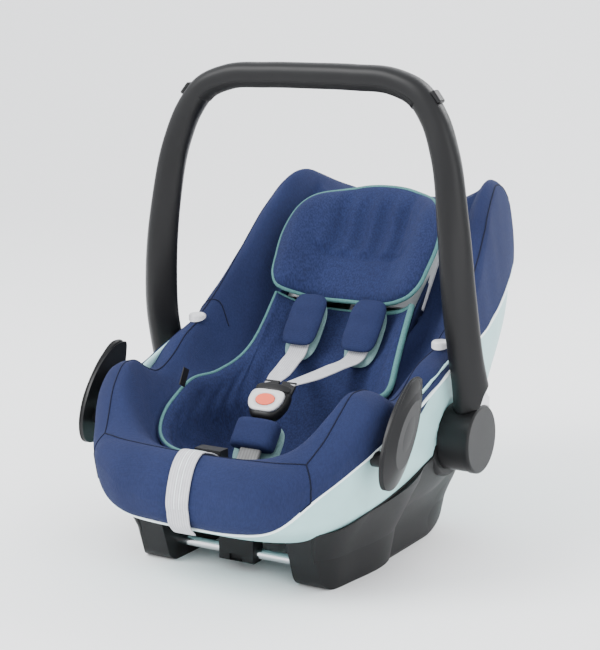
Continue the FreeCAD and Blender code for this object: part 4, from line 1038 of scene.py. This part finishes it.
def cut_with(piece, cutters):
    """Cuts solids out of a piece for good, then removes the cutters."""
    for cutter in cutters:
        boolean = piece.modifiers.new("cut", "BOOLEAN")
        boolean.operation = "DIFFERENCE"
        boolean.solver = "EXACT"
        boolean.object = cutter
        bpy.context.view_layer.update()
        ready = piece.evaluated_get(bpy.context.evaluated_depsgraph_get())
        mesh = bpy.data.meshes.new_from_object(ready)
        piece.modifiers.clear()
        old = piece.data
        piece.data = mesh
        mesh.name = old.name
        bpy.data.objects.remove(cutter)
    piece.data.shade_smooth()


def cutter(profile, x0, x1):
    """Solid of a (y, z) profile that reaches from x0 to x1."""
    grid = np.stack([np.column_stack([np.full(len(profile), x), profile]) for x in (x0, x1)])
    return surface("cutter", grid, [], wrap_columns=True, caps=True, body=None)


def hub_circle(radius, count=96):
    """Round profile about the hub axis: y = radius*cos, z = hub + radius*sin."""
    turn = full_turn(count)
    return np.stack([radius * np.cos(turn), HUB_Z + radius * np.sin(turn)], axis=1)


def button_niche(y0=6.0, half=17.6, head=195.0):
    """Profile of the recess over the release button: straight sides and a round head."""
    turn = np.linspace(0, np.pi, 33)
    arc = np.stack([y0 + half * np.cos(turn), head + half * np.sin(turn)], 1)
    return np.concatenate([[(y0 + half, HUB_Z)], arc, [(y0 - half, HUB_Z)]])


cutters = []
for side in (-1, 1):
    cutters += [cutter(hub_circle(41.2), side * 140.0, side * 250.0),
                cutter(button_niche(), side * 206.0, side * 245.0)]
cut_with(arch, cutters)
edge_bevel = arch.modifiers.new("edge_round", "BEVEL")
edge_bevel.width = 1.2 * MM
edge_bevel.segments = 2
edge_bevel.limit_method = "ANGLE"
edge_bevel.angle_limit = math.radians(38)

grip_turns = np.linspace(np.radians(112), np.radians(248), 26)
span = slice(78, 143)
grip_out = arch_sections(arch_line, 0.7, grip_turns)[span]
grip_in = arch_sections(arch_line, -2.0, grip_turns)[span]
grip_points = np.concatenate([grip_out, grip_in[:, ::-1]], axis=1)
grip = surface("soft_grip", grip_points, grip_black, wrap_columns=True, caps=True, body="handle",
               slot="grip_black")
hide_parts("grip_insert")

# %% [markdown]
# ## Belt guides
# A leaf-shaped guide with a domed face and a rolled rim on each side of the shell.


# %% Belt guides
def leaf_outline(count=96):
    """Leaf along its own axis: long, fuller on one side, with rounded tips."""
    return flow([(0, 67), (14, 60), (26, 34), (31, 2), (29, -30), (18, -55), (2, -67), (-14, -60), (-26, -36),
                 (-29, 0), (-22, 34), (-11, 58)], count, closed=True)


def guide_frame(side):
    """Frame of the guide on one side: x across the leaf, d along it, n out of the shell."""
    turn = math.radians(53)

    def at(x, d, n):
        x, d, n = np.broadcast_arrays(np.asarray(x, float), d, n)
        y = -167 + d * math.cos(turn) - x * math.sin(turn)
        z = 186 + d * math.sin(turn) + x * math.cos(turn)
        return np.stack([side * (197 + n), y, z], axis=-1)

    return at


def leaf_front(x, d):
    """Dome: 6 mm at the rim and 12.5 mm at the middle."""
    return 6 + 6.5 * np.clip(1 - (x / 32) ** 2 - (d / 70) ** 2, 0, 1) ** 0.8


for name, side in SIDES:
    on_guide = guide_frame(side)
    pillow("belt_guide_" + name + "_leaf", leaf_outline(), leaf_front, level(0), on_guide, guide_grey,
           round_power=10.0, slot="black_plastic")
    rim = leaf_outline(120) * 0.985
    tube("belt_guide_" + name + "_rim", on_guide(rim[:, 0], rim[:, 1], 4.6), 1.6, base_black, closed=True,
         reference=(1, 0.01, 0.02), slot="black_plastic")

# %% [markdown]
# ## Adjuster strap
# The tape that tightens the harness comes out of the front of the seat, lies over the front
# roll and is tucked under the shell's edge. A line of stitches runs down its middle.

# %% Adjuster strap
ADJUSTER_POINTS, FREE_END_Z, SMOOTHING = 80, 92, 7
strap_route = flow([(0, -231, 150), (0, -243, 161.5), (0, -262, 168.0), (0, -283, 166.0), (0, -300, 154),
                    (0, -311, 133), (0, -311, 104), (0, -303, 85), (0, -292, 74)], ADJUSTER_POINTS)
roll_middle = np.array([0.0, -262.0, 114.0])
outwards = unit(strap_route - roll_middle)
raised = lay_on_cover(strap_route) + outwards * 2.4
strap_route = np.where(strap_route[:, 2, None] > FREE_END_Z, raised, strap_route)
padded_route = np.pad(strap_route, ((SMOOTHING // 2, SMOOTHING // 2), (0, 0)), "edge")
strap_route = np.stack([np.convolve(values, np.ones(SMOOTHING) / SMOOTHING, "valid")
                        for values in padded_route.T], axis=1)
strap_route[:, 0] = 0
adjuster = tape("adjuster_tape", strap_route, np.tile([1.0, 0, 0], (ADJUSTER_POINTS, 1)), 29, 1.8,
                strap_tape)
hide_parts("adjuster_strap")

stitch_line = strap_route[4:62] + outwards[4:62] * 0.8
stitch_x = np.array([1.0, 0.0, 0.0]) * 3.2
for k, offset in enumerate((-1, 1)):
    tube("adjuster_stitches_" + str(k + 1), stitch_line + stitch_x * offset, 0.45, painted_highlight_and_thread_white, sides=6,
         slot="webbing")

# %% [markdown]
# ## Finishes for the frame's own parts
# The hard parts whose shape is right keep the frame's mesh and only get their finish.

# %% Assign finishes
def pairs(*names):
    """Left and right node of each name."""
    return [name + side for name in names for side in ("_left", "_right")]


FINISH = {
    base_black: pairs("base_rocker", "hub_housing")
    + ["base_pan", "bar_clip", "rear_belt_guide", "fabric_tag"],
    handle_black: pairs("hub_drum", "hub_cap", "canopy_hook", "tongue") + ["adjuster_housing"],
    guide_grey: pairs("belt_guide"),
    button_white: pairs("release_button", "canopy_stud")
    + ["headrest_carrier", "headrest_grip", "adjuster_lever", "headrest_rail"],
    buckle_red: ["buckle_button"],
    bar_chrome: ["front_bar", "rear_bar"],
    zinc: pairs("pivot_pin", "lock_ring", "button_spring")
    + ["base_screws", "harness_yoke", "button_spring_buckle"],
}
for finish, names in FINISH.items():
    for name in names:
        mesh = frame["nodes"][name].data
        mesh.materials.clear()
        mesh.materials.append(finish)
named = sum(FINISH.values(), [])
shown = [name for name, node in frame["nodes"].items() if not node.hide_render]
print("nodes without a finish:", [name for name in shown if name not in named])

# %% [markdown]
# ## Floor, light and camera
# A pale floor that runs up into a backdrop, one large key light from the front left, a
# softer fill and a rim light, and the viewing angle of a catalogue picture.

# %% Studio
FLOOR_REACH, BEND_Y, BEND_RADIUS = 6.0, 2.2, 1.4
bend = np.linspace(0.1, 1.57, 14)
sweep_y = np.concatenate([np.linspace(-FLOOR_REACH, BEND_Y, 12), BEND_Y + BEND_RADIUS * np.sin(bend),
                          np.full(6, 3.6)])
sweep_z = np.concatenate([np.zeros(12), BEND_RADIUS - BEND_RADIUS * np.cos(bend), np.linspace(1.7, 5.0, 6)])
columns = np.linspace(-FLOOR_REACH, FLOOR_REACH, 12)
sweep = np.stack(np.broadcast_arrays(columns, sweep_y[:, None], sweep_z[:, None]), axis=-1)
floor_mesh = bpy.data.meshes.new("studio_floor")
floor_mesh.from_pydata(sweep.reshape(-1, 3).tolist(), [], grid_faces(32, 12))
floor_mesh.shade_smooth()
studio = bpy.data.objects.new("studio_floor", floor_mesh)
bpy.context.scene.collection.objects.link(studio)
floor_finish, _, floor_shader = start_material("floor_paper", 0.9)
floor_shader.inputs["Base Color"].default_value = (0.95, 0.95, 0.95, 1)
floor_mesh.materials.append(floor_finish)

world = bpy.data.worlds.new("studio_world")
world.use_nodes = True
world.node_tree.nodes["Background"].inputs["Color"].default_value = (0.95, 0.97, 1.0, 1)
world.node_tree.nodes["Background"].inputs["Strength"].default_value = 2.0
bpy.context.scene.world = world


def area_light(name, location, target, size, energy):
    """Rectangular lamp of a size in metres and an energy in watts, turned to a target."""
    lamp = bpy.data.lights.new(name, "AREA")
    lamp.shape = "RECTANGLE"
    lamp.size, lamp.size_y = size
    lamp.energy = energy
    holder = bpy.data.objects.new(name, lamp)
    holder.location = location
    holder.rotation_mode = "QUATERNION"
    holder.rotation_quaternion = (Vector(target) - Vector(location)).to_track_quat("-Z", "Y")
    bpy.context.scene.collection.objects.link(holder)


middle_of_seat = (0, 0, 0.25)
area_light("key", (-1.4, -1.9, 2.2), middle_of_seat, (1.6, 1.6), 95)
area_light("fill", (2.2, -1.3, 1.0), middle_of_seat, (1.4, 2.0), 26)
area_light("rim", (0.8, 2.0, 1.9), middle_of_seat, (1.6, 1.2), 40)

camera_data = bpy.data.cameras.new("camera")
camera = bpy.data.objects.new("camera", camera_data)
bpy.context.scene.collection.objects.link(camera)
bpy.context.scene.camera = camera
AZIMUTH, ELEVATION = math.radians(30.27), math.radians(11.12)
back = Vector((math.sin(AZIMUTH) * math.cos(ELEVATION), -math.cos(AZIMUTH) * math.cos(ELEVATION),
               math.sin(ELEVATION)))
camera.location = place([(1015.9, -1784.0, 661.2)])[0]
camera.rotation_mode = "QUATERNION"
camera.rotation_quaternion = (-back).to_track_quat("-Z", "Y")
camera_data.sensor_width = 36.0
camera_data.lens = 95.1
camera_data.clip_start, camera_data.clip_end = 0.05, 30.0
